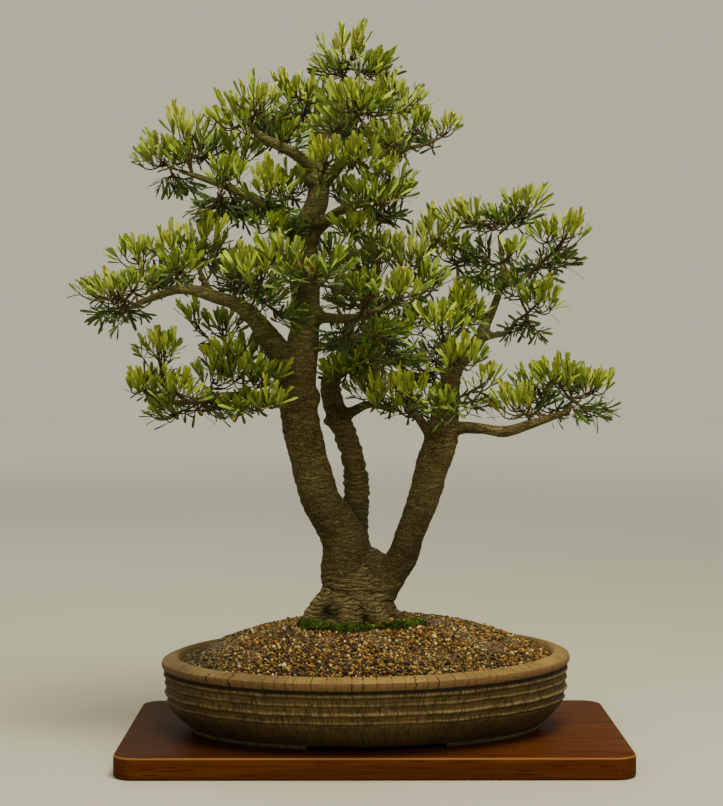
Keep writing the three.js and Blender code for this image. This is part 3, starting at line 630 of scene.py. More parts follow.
# %% [markdown]
# Thousands of small stones cover the soil. Five stones are modelled once, each from a rough
# twenty-faced ball that is pushed out of shape, and then repeated all over the mound with their facets
# left flat. The copies are written into one mesh, and each copy carries a random value that picks its
# colour from amber, brown, grey, black and white.

# %% Models of what repeats


def numbers(collection, name, count, kind=np.float32):
    """A mesh property of each element as one row of numbers."""
    row = np.zeros(len(collection) * count, kind)
    collection.foreach_get(name, row)
    return row.reshape(-1, count) if count > 1 else row


class Model:
    """The shape of one small piece, kept to be repeated, with the values stored on its mesh."""

    def __init__(self, piece):
        mesh = piece.data
        self.points = numbers(mesh.vertices, "co", 3)
        self.corners = numbers(mesh.loops, "vertex_index", 1, np.int32)
        self.starts = numbers(mesh.polygons, "loop_start", 1, np.int32)
        self.totals = numbers(mesh.polygons, "loop_total", 1, np.int32)
        self.stored = {}
        for layer in mesh.attributes:
            if layer.data_type == "FLOAT" and layer.domain in ("POINT", "FACE"):
                self.stored[layer.name] = (layer.domain, numbers(layer.data, "value", 1))
        bpy.data.objects.remove(piece)


def repeat(name, models, copies, values):
    """One mesh of many copies: copies holds (model number, 4 by 4 place), values a row per name."""
    points, corners, starts, totals, own = [], [], [], [], []
    stored = {key: [] for key in models[0].stored}
    first_point = first_corner = 0
    for number, place in copies:
        model = models[number]
        turned = np.array(place)
        points.append(model.points @ turned[:3, :3].T + turned[:3, 3])
        corners.append(model.corners + first_point)
        starts.append(model.starts + first_corner)
        totals.append(model.totals)
        own.append(len(model.points))
        first_point += len(model.points)
        first_corner += len(model.corners)
        for key, (domain, row) in model.stored.items():
            stored[key].append(row)
    mesh = bpy.data.meshes.new(name)
    mesh.vertices.add(first_point)
    mesh.vertices.foreach_set("co", np.concatenate(points).astype(np.float32).ravel())
    mesh.loops.add(first_corner)
    mesh.loops.foreach_set("vertex_index", np.concatenate(corners))
    mesh.polygons.add(sum(len(row) for row in starts))
    mesh.polygons.foreach_set("loop_start", np.concatenate(starts))
    mesh.polygons.foreach_set("loop_total", np.concatenate(totals))
    mesh.update(calc_edges=True)
    for key, rows in stored.items():
        layer = mesh.attributes.new(key, "FLOAT", models[0].stored[key][0])
        layer.data.foreach_set("value", np.concatenate(rows))
    for key, row in values.items():
        layer = mesh.attributes.new(key, "FLOAT", "POINT")
        layer.data.foreach_set("value", np.repeat(np.array(row, np.float32), own))
    piece = bpy.data.objects.new(name, mesh)
    bpy.context.scene.collection.objects.link(piece)
    return piece


# %% Stones
STONE_KINDS = 5
draw = random.Random(11)
stones = []
for _ in range(STONE_KINDS):
    bpy.ops.object.select_all(action="DESELECT")
    bpy.ops.mesh.primitive_ico_sphere_add(subdivisions=1, radius=1)
    stone = bpy.context.object
    long, wide, flat = draw.uniform(1.0, 1.3), draw.uniform(0.8, 1.0), draw.uniform(0.6, 0.85)
    for vertex in stone.data.vertices:
        dent = draw.uniform(0.74, 1.18)
        vertex.co = (vertex.co.x * long * dent, vertex.co.y * wide * dent, vertex.co.z * flat * dent)
    stones.append(Model(stone))
print("stones modelled:", len(stones), "of 20 faces each")

# %% [markdown]
# The mound is highest at the tree and falls to just under the rim. The stones are laid on it in a
# sunflower spiral, the even pattern that leaves no rows, and each one is then shaken out of place. Where
# the foot of the tree stands there are none.

# %% Gravel
BED_EDGE = 0.092
BED_RADIUS = 0.2452
BED_RISE = 0.054
BED_FALL = 2.6
STONE_COUNT = 9900
STONE_SIZE = 0.00190
STONE_REACH = 0.244
STONE_SHAKE = 0.0011
FOOT_CENTRE = Vector((-0.028, 0.006))
FOOT_RADIUS = 0.044
GOLDEN_ANGLE = 2.39996


def ground(x, y):
    """Height of the gravel at a place of the plan."""
    flat = Matrix.Rotation(-POT_TURN, 2) @ Vector((x - POT_PLACE.x, y))
    share = min(math.hypot(flat.x, flat.y / RIM_NARROWING) / BED_RADIUS, 1)
    return BOARD[2] + BED_EDGE + BED_RISE * (1 - share**BED_FALL) + flat.x * RIM_RISE


laid = []
colours = []
for i in range(STONE_COUNT):
    reach = STONE_REACH * math.sqrt((i + 0.5) / STONE_COUNT)
    turn_now = i * GOLDEN_ANGLE + draw.uniform(-0.004, 0.004)
    flat = Vector((reach * math.cos(turn_now), RIM_NARROWING * reach * math.sin(turn_now)))
    flat += Vector((draw.uniform(-1, 1), draw.uniform(-1, 1))) * STONE_SHAKE
    x, y = Matrix.Rotation(POT_TURN, 2) @ flat + POT_PLACE.xy
    if (Vector((x, y)) - FOOT_CENTRE).length < FOOT_RADIUS:
        continue
    size = STONE_SIZE * draw.choice((0.62, 0.80, 0.95, 1.05, 1.30)) * draw.uniform(0.90, 1.12)
    size *= 1.5 if draw.random() < 0.06 else 1
    place = Matrix.Translation((x, y, ground(x, y) + size * draw.uniform(-0.1, 0.5)))
    place @= Matrix.Rotation(draw.uniform(0, math.tau), 4, Vector((draw.random(), draw.random(), 1)))
    laid.append((draw.randrange(STONE_KINDS), place @ Matrix.Scale(size, 4)))
    colours.append(draw.random())
gravel = repeat("gravel_stones", stones, laid, {"dice": colours})
only(gravel)
bpy.ops.object.shade_flat()
print("stones laid:", len(laid))

# %% [markdown]
# Each stone reads its own random value from a row of hard-edged colour steps, and a fine speckle on top
# keeps one stone from being one flat colour. The soil below shows only in the chinks, dark and damp.
# Grey-green damp patches lie here and there, and the stones at the left end are duller and darker,
# which is painted shade.

# %% Gravel finish
STONE_TONES = [
    (0.0, (0.125, 0.058, 0.007)), (0.15, (0.250, 0.130, 0.016)), (0.29, (0.040, 0.020, 0.003)),
    (0.43, (0.380, 0.225, 0.036)), (0.52, (0.009, 0.006, 0.002)), (0.64, (0.150, 0.052, 0.007)),
    (0.74, (0.105, 0.088, 0.024)), (0.83, (0.470, 0.345, 0.095)), (0.90, (0.032, 0.028, 0.011)),
    (0.975, (0.600, 0.500, 0.230)),
]
pebble = Finish("mixed_river_gravel", Specular_IOR_Level=0.16)
stone_tone = pebble.ramp(pebble.stored("dice"), STONE_TONES, steps="CONSTANT")
speckle = pebble.cloud(pebble.places, 900.0, 3.0, 0.7)
damp = pebble.cloud(pebble.places, 16.0, 2.0).between(0.52, 0.66)
# Painted shade: the stones towards the left end are darker and duller.
left_shade_gravel = 1 - (pebble.part("X") + damp * 0.02).between(-0.225, -0.150)
pebble.wear(
    Base_Color=pebble.covered(
        stone_tone,
        (speckle.between(0.35, 0.7) * 0.4, (0.040, 0.022, 0.006)),
        (damp * 0.40, (0.034, 0.036, 0.012)),
        (left_shade_gravel * 0.72, (0.030, 0.032, 0.014)),
    ),
    Roughness=0.42 + speckle * 0.35,
    Normal=pebble.relief(speckle, 0.0003, 0.5),
)
settle(gravel, "gravel_stones", pebble)
soil = Finish("damp_potting_soil", Roughness=0.95)
crumbs = soil.cells(soil.places, 300.0)
crumb_tone = soil.ramp(soil.cells(soil.places, 300.0, output="Color"), STONE_TONES, steps="CONSTANT")
soil.wear(
    Base_Color=soil.mix(crumbs.between(0.1, 0.7), crumb_tone, (0.012, 0.008, 0.003)),
    Normal=soil.relief(1 - crumbs, 0.0012, 1.0),
)
dress(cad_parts["gravel_bed"], soil)
print("gravel:", made["gravel_stones"], "triangles")

# %% [markdown]
# The wood is one grown thing, so its routes are written down once: the flared foot with its roots and two
# root ridges at the front, three trunks, and the branches. Each stop of a route is [x, y, z, radius] in
# millimetres, from the thick end to the tip.

# %% Routes of the wood
ROOTS = {
    "crown": [[-30, 8, 118, 50], [-31, 8, 143, 60], [-30, 8, 168, 58], [-27, 8, 188, 50], [-23, 8, 206, 43],
        [-20, 8, 223, 40]],
    "left": [[-44, 2, 192, 24], [-66, -8, 172, 20], [-84, -14, 148, 13]],
    "right": [[-6, 4, 194, 22], [18, -2, 174, 18], [40, -4, 148, 13]],
    "front": [[-30, -18, 190, 24], [-34, -44, 168, 18], [-36, -58, 142, 12]],
    "back": [[-24, 30, 190, 24], [-16, 56, 170, 18], [-12, 70, 146, 12]],
    "left_front": [[-56, -18, 208, 15], [-78, -30, 182, 12], [-98, -40, 154, 9]],
    "front_right": [[-8, -34, 200, 15], [8, -48, 174, 12], [20, -58, 150, 9]],
}
TRUNKS = {
    "trunk_a": [[-34, 6, 196, 34], [-38, 4, 230, 30], [-40, 2, 277, 28], [-69, 0, 330, 25],
        [-85, -2, 383, 24], [-97, -4, 437, 24], [-101, -5, 487, 25], [-94, -5, 526, 20], [-90, -4, 575, 18.5],
        [-90, -4, 634, 19], [-92, -5, 680, 17.5], [-77, -8, 716, 14.5], [-69, -10, 752, 13]],
    "trunk_b": [[-15, 22, 200, 26], [-20, 28, 247, 17], [-23, 37, 300, 15.5], [-22, 44, 347, 17],
        [-28, 50, 387, 14.5], [-45, 56, 434, 14.5], [-57, 60, 475, 14], [-50, 62, 499, 10], [-30, 62, 524, 8],
        [-13, 60, 547, 6.5], [0, 58, 567, 5]],
    "trunk_c": [[-3, 0, 197, 28], [21, -4, 231, 21], [37, -6, 254, 19.5], [49, -8, 287, 18.5],
        [66, -10, 334, 19.5], [76, -12, 371, 21], [89, -14, 411, 22], [94, -14, 443, 18],
        [99, -12, 479, 13.5], [109, -8, 508, 11], [133, -4, 533, 9.5], [148, 0, 562, 7], [164, 2, 598, 5],
        [171, 2, 628, 4.5], [169, 0, 658, 3.8], [166, -2, 682, 3.2]],
}
BRANCHES = {
    "leader": [[-69, -10, 746, 13], [-72, -10, 771, 10.5], [-68, -12, 798, 7], [-56, -14, 828, 5.5],
        [-40, -18, 884, 3.5]],
    "leader_left": [[-74, -8, 775, 8], [-80, 0, 797, 6], [-77, 16, 827, 5], [-75, 20, 856, 4]],
    "top_left": [[-73, -10, 763, 10], [-90, -21, 776, 8], [-109, -36, 787, 7], [-128, -40, 796, 6.5],
        [-145, -40, 804, 5.5], [-160, -40, 819, 4]],
    "top_right": [[-65, -10, 750, 9], [-47, -27, 766, 7.5], [-33, -48, 782, 6.5], [-22, -64, 801, 5],
        [-14, -76, 817, 4]],
    "top_far_right": [[-47, -20, 770, 5.5], [-7, -30, 785, 4.5], [25, -32, 789, 4], [54, -24, 794, 3.2],
        [74, -16, 800, 2.6]],
    "upper_left": [[-89, -4, 674, 12], [-112, -12, 697, 9], [-138, -24, 716, 7.5], [-166, -28, 731, 6],
        [-198, -28, 744, 5], [-229, -24, 755, 4], [-256, -20, 764, 3]],
    "upper_right": [[-86, -6, 679, 11], [-57, -24, 701, 7.5], [-33, -44, 714, 6], [-8, -48, 719, 5],
        [18, -44, 723, 3.8]],
    "mid_left": [[-100, -5, 483, 21], [-119, -12, 516, 17], [-138, -24, 547, 13.5], [-159, -30, 573, 11],
        [-179, -34, 589, 9.5], [-208, -36, 598, 8], [-236, -36, 607, 6.8], [-263, -34, 606, 6],
        [-288, -30, 597, 5], [-311, -24, 589, 4]],
    "mid_left_rise": [[-209, -34, 597, 6], [-219, -38, 615, 4.5], [-227, -44, 635, 3.6]],
    "mid_right": [[-90, -4, 574, 12], [-61, -21, 571, 7], [-31, -48, 570, 6], [-3, -64, 576, 5],
        [24, -76, 589, 4]],
    "mid_front": [[-90, -8, 605, 10], [-92, -51, 612, 6.5], [-81, -116, 619, 5]],
    "mid_back": [[-89, 0, 615, 11], [-77, 60, 629, 7.5], [-62, 138, 644, 5.5], [-54, 168, 654, 4]],
    "low_left": [[-97, -6, 447, 13], [-125, -21, 462, 8], [-153, -40, 468, 6.8], [-184, -48, 469, 6],
        [-212, -48, 467, 5.2], [-242, -40, 461, 4.4], [-269, -32, 462, 3.6], [-290, -24, 467, 3]],
    "low_left_high": [[-110, -12, 484, 9], [-136, -18, 500, 4.5], [-157, -20, 508, 3.6], [-175, -16, 513, 3]],
    "b_right": [[-45, 56, 437, 11], [-27, 60, 446, 7], [-9, 48, 455, 5.5], [9, 20, 454, 4.6],
        [27, 0, 448, 3.6]],
    "b_back": [[-35, 62, 518, 8], [-31, 132, 535, 5.5], [-26, 170, 549, 4]],
    "c_left": [[88, -14, 408, 15], [69, -9, 427, 7], [57, 4, 442, 5], [42, 16, 450, 4]],
    "c_right": [[91, -14, 421, 13], [116, -27, 427, 8], [144, -40, 426, 7], [171, -40, 423, 7.5],
        [201, -36, 431, 6.2], [231, -28, 440, 4.8], [258, -20, 449, 3.6]],
    "c_front": [[95, -14, 450, 11], [97, -54, 459, 6], [97, -104, 467, 4.5]],
    "c_back": [[97, -6, 466, 11], [98, 36, 486, 6.5], [93, 96, 507, 4.6]],
    "c_side": [[145, -2, 548, 6.5], [162, 3, 549, 4.4], [179, 12, 554, 3.6], [191, 12, 569, 3]],
    "c_top_right": [[169, 2, 614, 4.6], [189, 6, 620, 3.6], [208, 12, 633, 3], [223, 12, 645, 2.6]],
    "c_top_left": [[150, 0, 566, 6], [137, 6, 587, 4.2], [128, 12, 611, 3.4], [119, 12, 630, 2.8]],
}
LIMBS = {**TRUNKS, **BRANCHES}
print("limbs:", len(LIMBS), "roots:", len(ROOTS))

# %% [markdown]
# A curve with a round bevel is the natural start for a limb, because each of its points keeps its own
# radius. All routes go into one curve. Burls, stubs of cut twigs and the knotted crown are added as lumps,
# and everything is then melted together by a voxel remesh, which leaves rounded crotches where a branch
# leaves its trunk, as bark does.

# %% Limbs and burls
BURLS = [
    (-52, -8, 190, 21), (-8, -22, 190, 22), (5, -4, 203, 19), (-34, -26, 178, 22), (-56, -22, 170, 17),
    (0, 26, 186, 24), (-48, 30, 182, 22), (-4, 2, 226, 24), (-94, -8, 466, 24), (-104, -6, 500, 22),
    (-92, -4, 694, 18), (-90, -6, 676, 19), (-76, -10, 752, 15), (-82, -2, 574, 19), (92, -14, 424, 22),
    (98, -13, 470, 16), (-58, 60, 486, 14), (-50, 57, 434, 15), (146, -2, 548, 9), (-141, -25, 548, 17),
    (-90, -6, 612, 20), (176, -40, 424, 9), (-22, 8, 216, 40), (14, -14, 178, 15), (-70, -14, 160, 16),
    (2, 8, 244, 22), (-10, 16, 248, 23),
]


def bent_tubes(name, routes, roundness, smoothness):
    """Tapering tubes along routes of (x, y, z, radius) in millimetres, as one mesh."""
    bpy.ops.object.select_all(action="DESELECT")
    bpy.ops.curve.primitive_bezier_curve_add()
    tubes = bpy.context.object
    tubes.data.splines.clear()
    tubes.data.dimensions = "3D"
    for route in routes:
        spline = tubes.data.splines.new("BEZIER")
        spline.bezier_points.add(len(route) - 1)
        spline.resolution_u = smoothness
        for point, (x, y, z, radius) in zip(spline.bezier_points, route):
            point.co = (x * MM, y * MM, z * MM)
            point.radius = radius
            point.handle_left_type = point.handle_right_type = "AUTO"
    tubes.data.bevel_depth = MM
    tubes.data.bevel_resolution = roundness
    tubes.data.use_fill_caps = True
    tubes.name = name
    only(tubes)
    bpy.ops.object.convert(target="MESH")
    return bpy.context.object


wood = bent_tubes("wood", [*ROOTS.values(), *LIMBS.values()], 7, 7)
lumps = []
for x, y, z, radius in BURLS:
    bpy.ops.object.select_all(action="DESELECT")
    bpy.ops.mesh.primitive_ico_sphere_add(
        subdivisions=3, radius=radius * MM, location=(x * MM, y * MM, z * MM), scale=(1, 1, 0.8)
    )
    lumps.append(bpy.context.object)
only(wood, *lumps)
bpy.ops.object.join()
finished(wood, "REMESH", mode="VOXEL", voxel_size=0.0023, use_smooth_shade=True)
finished(wood, "SMOOTH", factor=0.5, iterations=6)
print("wood after melting:", len(wood.data.polygons), "faces")

# %% [markdown]
# Bark isn't smooth. The trunks carry close rings of wrinkles, strongest on the middle trunk, the foot is
# folded in deep level creases round a dark hollow, and thin twigs are nearly smooth. Each vertex looks up
# the nearest limb, so that the depth of its wrinkles follows that limb's thickness, and is then pushed
# along its own normal. How creased a place is and how near the hollow are stored for the finish.

# %% Bark relief
HOLLOW_X, HOLLOW_Z = -0.059, 0.184
NECK_LEVEL = 0.211
SCAR_LEVEL = 0.694
stops = [(name, stop) for name, route in {**ROOTS, **LIMBS}.items() for stop in route]
nearest = kdtree.KDTree(len(stops))
for i, (name, (x, y, z, radius)) in enumerate(stops):
    nearest.insert((x * MM, y * MM, z * MM), i)
nearest.balance()


def knot_hole(point):
    """1 in the middle of the hollow between two roots at the front left, which is painted dark as shade, 0
    away from it.
    """
    if point.y > -0.01:
        return 0
    return math.exp(-(((point.x - HOLLOW_X) / 0.011) ** 2 + ((point.z - HOLLOW_Z) / 0.009) ** 2))


def bark_height(point):
    """How far the bark stands out at a place of the wood, in metres."""
    _, i, _ = nearest.find(point)
    name, stop = stops[i]
    girth = min(stop[3], 34) * MM
    lumpy = 0.06 + noise.noise(point * 34) * 0.07 + noise.noise(point * 95) * 0.045
    ring = noise.noise(Vector((point.x * 60, point.y * 60, point.z * 330)))
    coarse_ring = noise.noise(Vector((point.x * 26, point.y * 26, point.z * 150 + 7)))
    wrinkle = 0.030 * ring + 0.034 * coarse_ring
    if name == "trunk_b":
        wave = math.sin(point.z * 620 + 7.0 * noise.noise(point * 30))
        wrinkle += 0.028 * wave + 0.16 * coarse_ring
    if name in ROOTS:
        sway = 6.0 * noise.noise(point * 21) + point.x * 50
        crease = 1 - abs(math.sin(point.z * 290 + sway))
        fold = 1 - abs(math.sin(point.z * 640 - 1.3 * sway + 5.0 * noise.noise(point * 44)))
        wrinkle += 0.06 - 0.150 * crease**3 - 0.060 * fold**2 + 0.03 * noise.noise(point * 150)
        wrinkle -= 0.15 * math.exp(-(((point.z - NECK_LEVEL) / 0.0035) ** 2))
        wrinkle -= 0.42 * knot_hole(point)
    if name == "trunk_a":
        wrinkle += 0.10 * math.exp(-(((point.z - SCAR_LEVEL) / 0.004) ** 2))
    return girth * (lumpy + wrinkle)


heights = [bark_height(vertex.co) for vertex in wood.data.vertices]
for vertex, normal, height_now in zip(wood.data.vertices, numbers(wood.data.vertices, "normal", 3), heights):
    vertex.co += Vector(normal) * height_now
creased = wood.data.attributes.new("creased", "FLOAT", "POINT")
hollow_wood = wood.data.attributes.new("hollow", "FLOAT", "POINT")
for i, vertex in enumerate(wood.data.vertices):
    name, _ = stops[nearest.find(vertex.co)[1]]
    creased.data[i].value = 1.0 if name in ROOTS else 0.5 if name == "trunk_b" else 0.26
    hollow_wood.data[i].value = knot_hole(vertex.co) if name in ROOTS else 0
wood.data.update()
print("bark relief in mm:", round(min(heights) / MM, 2), "to", round(max(heights) / MM, 2))

# %% [markdown]
# Banksia bark is grey-brown with an olive cast and peppered with ochre corky dots. The wrinkles are the
# contour lines of a tall, narrow noise, and they are drawn darker. The dots are cells that are wider than
# they are high. Broken rings follow the sine of the height, most of all on the creased foot and on the
# middle trunk, and their folds are painted dark as shade. The crown's wood is greener and the old wood of
# the foot is browner. Painted shade darkens the trunks low down above the foot and blackens the hollow,
# and the middle trunk is painted lighter, a painted light against the shade that falls on it.

# %% Bark finish
bark = Finish("wrinkled_banksia_bark", Specular_IOR_Level=0.15)
wrinkles = bark.cloud(bark.placed(scale=(30, 30, 170)), 1.7, 6.0, 0.65, 0.6)
fine_wrinkles = bark.cloud(bark.placed(scale=(90, 90, 560)), 1.5, 4.0, 0.6, 0.3)
patches = bark.cloud(bark.places, 17.0, 4.0)
specks = bark.cloud(bark.placed(scale=(1, 1, 1.4)), 360.0, 3.0, 0.7)
bark_level = bark.part("Z")
creased_wood = bark.stored("creased")
high_wood = bark_level.between(0.42, 0.58)
sway = bark.cloud(bark.places, 20.0, 2.0, 0.45)
small_sway = bark.cloud(bark.places, 70.0, 2.0, 0.5)
breaks = bark.cloud(bark.placed(scale=(46, 46, 150)), 1.0, 3.0)
rings = (bark_level * 560 + sway * 20 + small_sway * 4).sine().size()
fine_rings = (bark_level * 1250 - sway * 26 + small_sway * 9).sine().size()
lines = 1 - (wrinkles - 0.5).size().between(0.004, 0.045)
fine_lines = 1 - (fine_wrinkles - 0.5).size().between(0.004, 0.06)
fold_lines = (1 - rings.between(0.08, 0.62)) * breaks.between(0.36, 0.56) * creased_wood
fold_lines += (1 - fine_rings.between(0.08, 0.70)) * (1 - breaks.between(0.46, 0.60)) * creased_wood * 0.5
low_trunk_shade = bark_level.between(0.21, 0.25) * (1 - bark_level.between(0.30, 0.40))
lit_middle_trunk = creased_wood.between(0.40, 0.48) * (1 - creased_wood.between(0.60, 0.80))
dots = bark.cells(bark.placed(scale=(230, 230, 380)), 1.0)
dot_field = bark.cloud(bark.places, 34.0, 2.0)
dot_mask = (1 - dots.between(0.14, 0.32)) * dot_field.between(0.42, 0.58)
bark_tone = bark.ramp(
    wrinkles * 0.20 + fine_wrinkles * 0.13 + patches * 0.22 + specks * 0.45,
    [(0.36, (0.0120, 0.0084, 0.0020)), (0.45, (0.064, 0.0480, 0.0135)), (0.53, (0.138, 0.108, 0.0340)),
     (0.64, (0.300, 0.240, 0.100))],
)
bark_tone = bark.covered(
    bark_tone,
    (patches.between(0.50, 0.68) * 0.35, (0.092, 0.092, 0.024)),
    (creased_wood.between(0.4, 1.0) * 0.34, (0.225, 0.165, 0.066)),
    (high_wood * 0.36, (0.200, 0.205, 0.065)),
    # Painted light: the middle trunk is lighter, against the shade that falls on it.
    (lit_middle_trunk * 0.28, (0.300, 0.240, 0.105)),
    # Painted shade: the trunks are darker low down, above the foot.
    (low_trunk_shade * (1 - creased_wood) * 0.58, (0.026, 0.021, 0.007)),
    (dot_mask * 0.62, (0.290, 0.175, 0.052)),
    (lines * 0.40 + fine_lines * 0.18, (0.0090, 0.0062, 0.0018)),
    # Painted shade: the folds of the creased wood are nearly black, most of all on the foot.
    (fold_lines * 0.85, (0.0060, 0.0038, 0.0012)),
    # Painted shade: the hollow between the roots is nearly black.
    (bark.stored("hollow") * 0.90, (0.0040, 0.0026, 0.0010)),
)
bark_relief = bark.relief(wrinkles * 0.5 + fine_wrinkles * 0.25 + specks * 0.25, 0.0022, 0.9)
bark_relief = bark.relief(1 - lines * 0.6 - fine_lines * 0.2 - fold_lines * 1.4, 0.0016, 0.9, bark_relief)
bark_relief = bark.relief(dot_mask, 0.0005, 0.7, bark_relief)
bark.wear(Base_Color=bark_tone, Roughness=0.78 + wrinkles * 0.18, Normal=bark_relief)
settle(wood, "wood", bark, ["trunk_and_branches"])
print("wood:", made["wood"], "triangles")

# %% [markdown]
# A strip of moss lies on the gravel along the front of the tree's foot, narrowest in the middle. Its
# cushion is a bent tube that is melted and pushed about, and its nap is some two thousand tiny sprigs of
# two spikes each, modelled once and stood on the cushion wherever it faces up.

# %% Moss cushion
MOSS_LINE = [[-92, -36, 8], [-66, -62, 10], [-33, -77, 11], [3, -74, 9], [32, -61, 11], [52, -50, 10],
    [66, -42, 8]]
moss_route = []
for x, y, radius in MOSS_LINE:
    moss_route.append((x, y, ground(x * MM, y * MM) / MM - 2, radius * (0.66 + 0.0060 * abs(x - 10))))
cushion = bent_tubes("moss", [moss_route], 4, 8)
finished(cushion, "REMESH", mode="VOXEL", voxel_size=0.0016, use_smooth_shade=True)
for vertex in cushion.data.vertices:
    ragged = 0.0060 * noise.noise(vertex.co * 45) + 0.0030 * noise.noise(vertex.co * 120)
    vertex.co += vertex.normal * ragged
cushion.data.update()
places_up = [
    (vertex.co.copy(), vertex.normal.copy())
    for vertex in cushion.data.vertices
    if vertex.normal.z > 0.05 and vertex.co.z > ground(vertex.co.x, vertex.co.y) - 0.002
]
print("cushion vertices that face up:", len(places_up))

# %% Moss sprigs
bpy.ops.object.select_all(action="DESELECT")
bpy.ops.mesh.primitive_cone_add(vertices=3, radius1=0.0006, radius2=0.00015, depth=0.003)
sprig = bpy.context.object
bpy.ops.object.mode_set(mode="EDIT")
bpy.ops.mesh.select_all(action="SELECT")
bpy.ops.mesh.duplicate_move(TRANSFORM_OT_translate={"value": (0.0007, 0.0002, -0.0002)})
bpy.ops.transform.rotate(value=0.5, orient_axis="Y", center_override=(0, 0, -0.0015))
bpy.ops.object.mode_set(mode="OBJECT")
sprigs = [Model(sprig)]
planted = []
for point, normal in draw.sample(places_up, min(2400, len(places_up))):
    lean = (normal + Vector((draw.uniform(-0.6, 0.6), draw.uniform(-0.6, 0.6), 0.6))).normalized()
    place = Matrix.Translation(point + lean * 0.0007) @ lean.to_track_quat("Z", "Y").to_matrix().to_4x4()
    place @= Matrix.Rotation(draw.uniform(0, 6.28), 4, "Z")
    planted.append((0, place @ Matrix.Scale(draw.uniform(0.7, 1.3), 4)))
nap = repeat("moss_nap", sprigs, planted, {"dice": [draw.random() for _ in planted]})
moss_green = Finish("cushion_moss", Roughness=0.9, Specular_IOR_Level=0.1)
moss_cloud = moss_green.cloud(moss_green.places, 62.0, 5.0, 0.65)
moss_tone = moss_green.ramp(
    moss_cloud * 0.75 + moss_green.stored("dice") * 0.25,
    [(0.32, (0.006, 0.007, 0.0015)), (0.44, (0.017, 0.031, 0.0038)), (0.56, (0.050, 0.092, 0.0090)),
     (0.70, (0.140, 0.175, 0.0260))],
)
moss_green.wear(Base_Color=moss_tone, Normal=moss_green.relief(moss_cloud, 0.002, 0.8))
settle(cushion, "moss_cushion", moss_green, ["moss"])
settle(nap, "moss_nap", moss_green)
print("moss:", made["moss_cushion"] + made["moss_nap"], "triangles")

# %% [markdown]
# A silver banksia leaf is stiff and narrow. It widens from a short stalk towards a blunt, slightly
# notched end, and its underside is duller. Old leaves are narrower than young ones. A four-sided cylinder
# is the start: two of its corners become the margins and the other two the midrib above and below. Its
# long edges are divided into spans, and each ring of points is then set to its width, its fold and its
# bend.

# %% Leaf models
YOUNG_LEAF = [(0.0, 0.20), (0.26, 0.52), (0.58, 0.90), (0.86, 1.0), (1.0, 0.50)]
OLD_LEAF = [(0.0, 0.20), (0.36, 0.66), (0.80, 1.0), (1.0, 0.50)]
LEAF_LENGTH = 0.030


def leaf_model(stations, width, bend, fold):
    """A leaf along X with its upper face towards +Z, in metres. Bend is the turn up from root to tip."""
    bpy.ops.object.select_all(action="DESELECT")
    bpy.ops.mesh.primitive_cylinder_add(vertices=4, radius=1, depth=1)
    leaf = bpy.context.object
    bpy.ops.object.mode_set(mode="EDIT")
    select_edges(leaf, is_upright)
    bpy.ops.mesh.subdivide(number_cuts=len(stations) - 2)
    bpy.ops.mesh.select_all(action="SELECT")
    bpy.ops.mesh.normals_make_consistent(inside=False)
    bpy.ops.object.mode_set(mode="OBJECT")
    mesh = leaf.data
    along = mesh.attributes.new("along", "FLOAT", "POINT")
    margin = mesh.attributes.new("margin", "FLOAT", "POINT")
    spans = len(stations) - 1
    for i, vertex in enumerate(mesh.vertices):
        station = round((vertex.co.z + 0.5) * spans)
        share, broad = stations[station]
        half = width / 2 * broad
        side, top = vertex.co.x, vertex.co.y
        notch = 0.05 if station == spans and abs(side) < 0.5 else 0
        reach = LEAF_LENGTH * (share - notch)
        angle = bend * share
        lift = fold * half * abs(side) + 0.0003 * top * (1.3 - share)
        vertex.co = (
            reach * math.cos(angle / 2) - lift * math.sin(angle),
            side * half,
            reach * math.sin(angle / 2) + lift * math.cos(angle),
        )
        along.data[i].value = share
        margin.data[i].value = abs(side)
    under = mesh.attributes.new("under", "FLOAT", "FACE")
    mesh.update()
    up = Vector((-math.sin(bend / 2), 0, math.cos(bend / 2)))
    for i, polygon in enumerate(mesh.polygons):
        under.data[i].value = 1.0 if polygon.normal.dot(up) < 0 else 0.0
    return Model(leaf)


leaves = [
    leaf_model(YOUNG_LEAF, 0.0064, 0.45, 0.30),
    leaf_model(YOUNG_LEAF, 0.0056, 0.80, 0.36),
    leaf_model(OLD_LEAF, 0.0054, 0.10, 0.16),
    leaf_model(OLD_LEAF, 0.0046, -0.45, 0.10),
]
print("leaf models:", len(leaves), "faces each:", [len(model.starts) for model in leaves])

# %% [markdown]
# The foliage grows in tufts. Each spray hangs on one limb and carries a few tufts, written as
# [x, y, z, size, age] in millimetres: age 0 is this year's upright growth, age 1 is old, dark and
# leaning outwards. The last tufts of some sprays close gaps that the solid sprays leave.

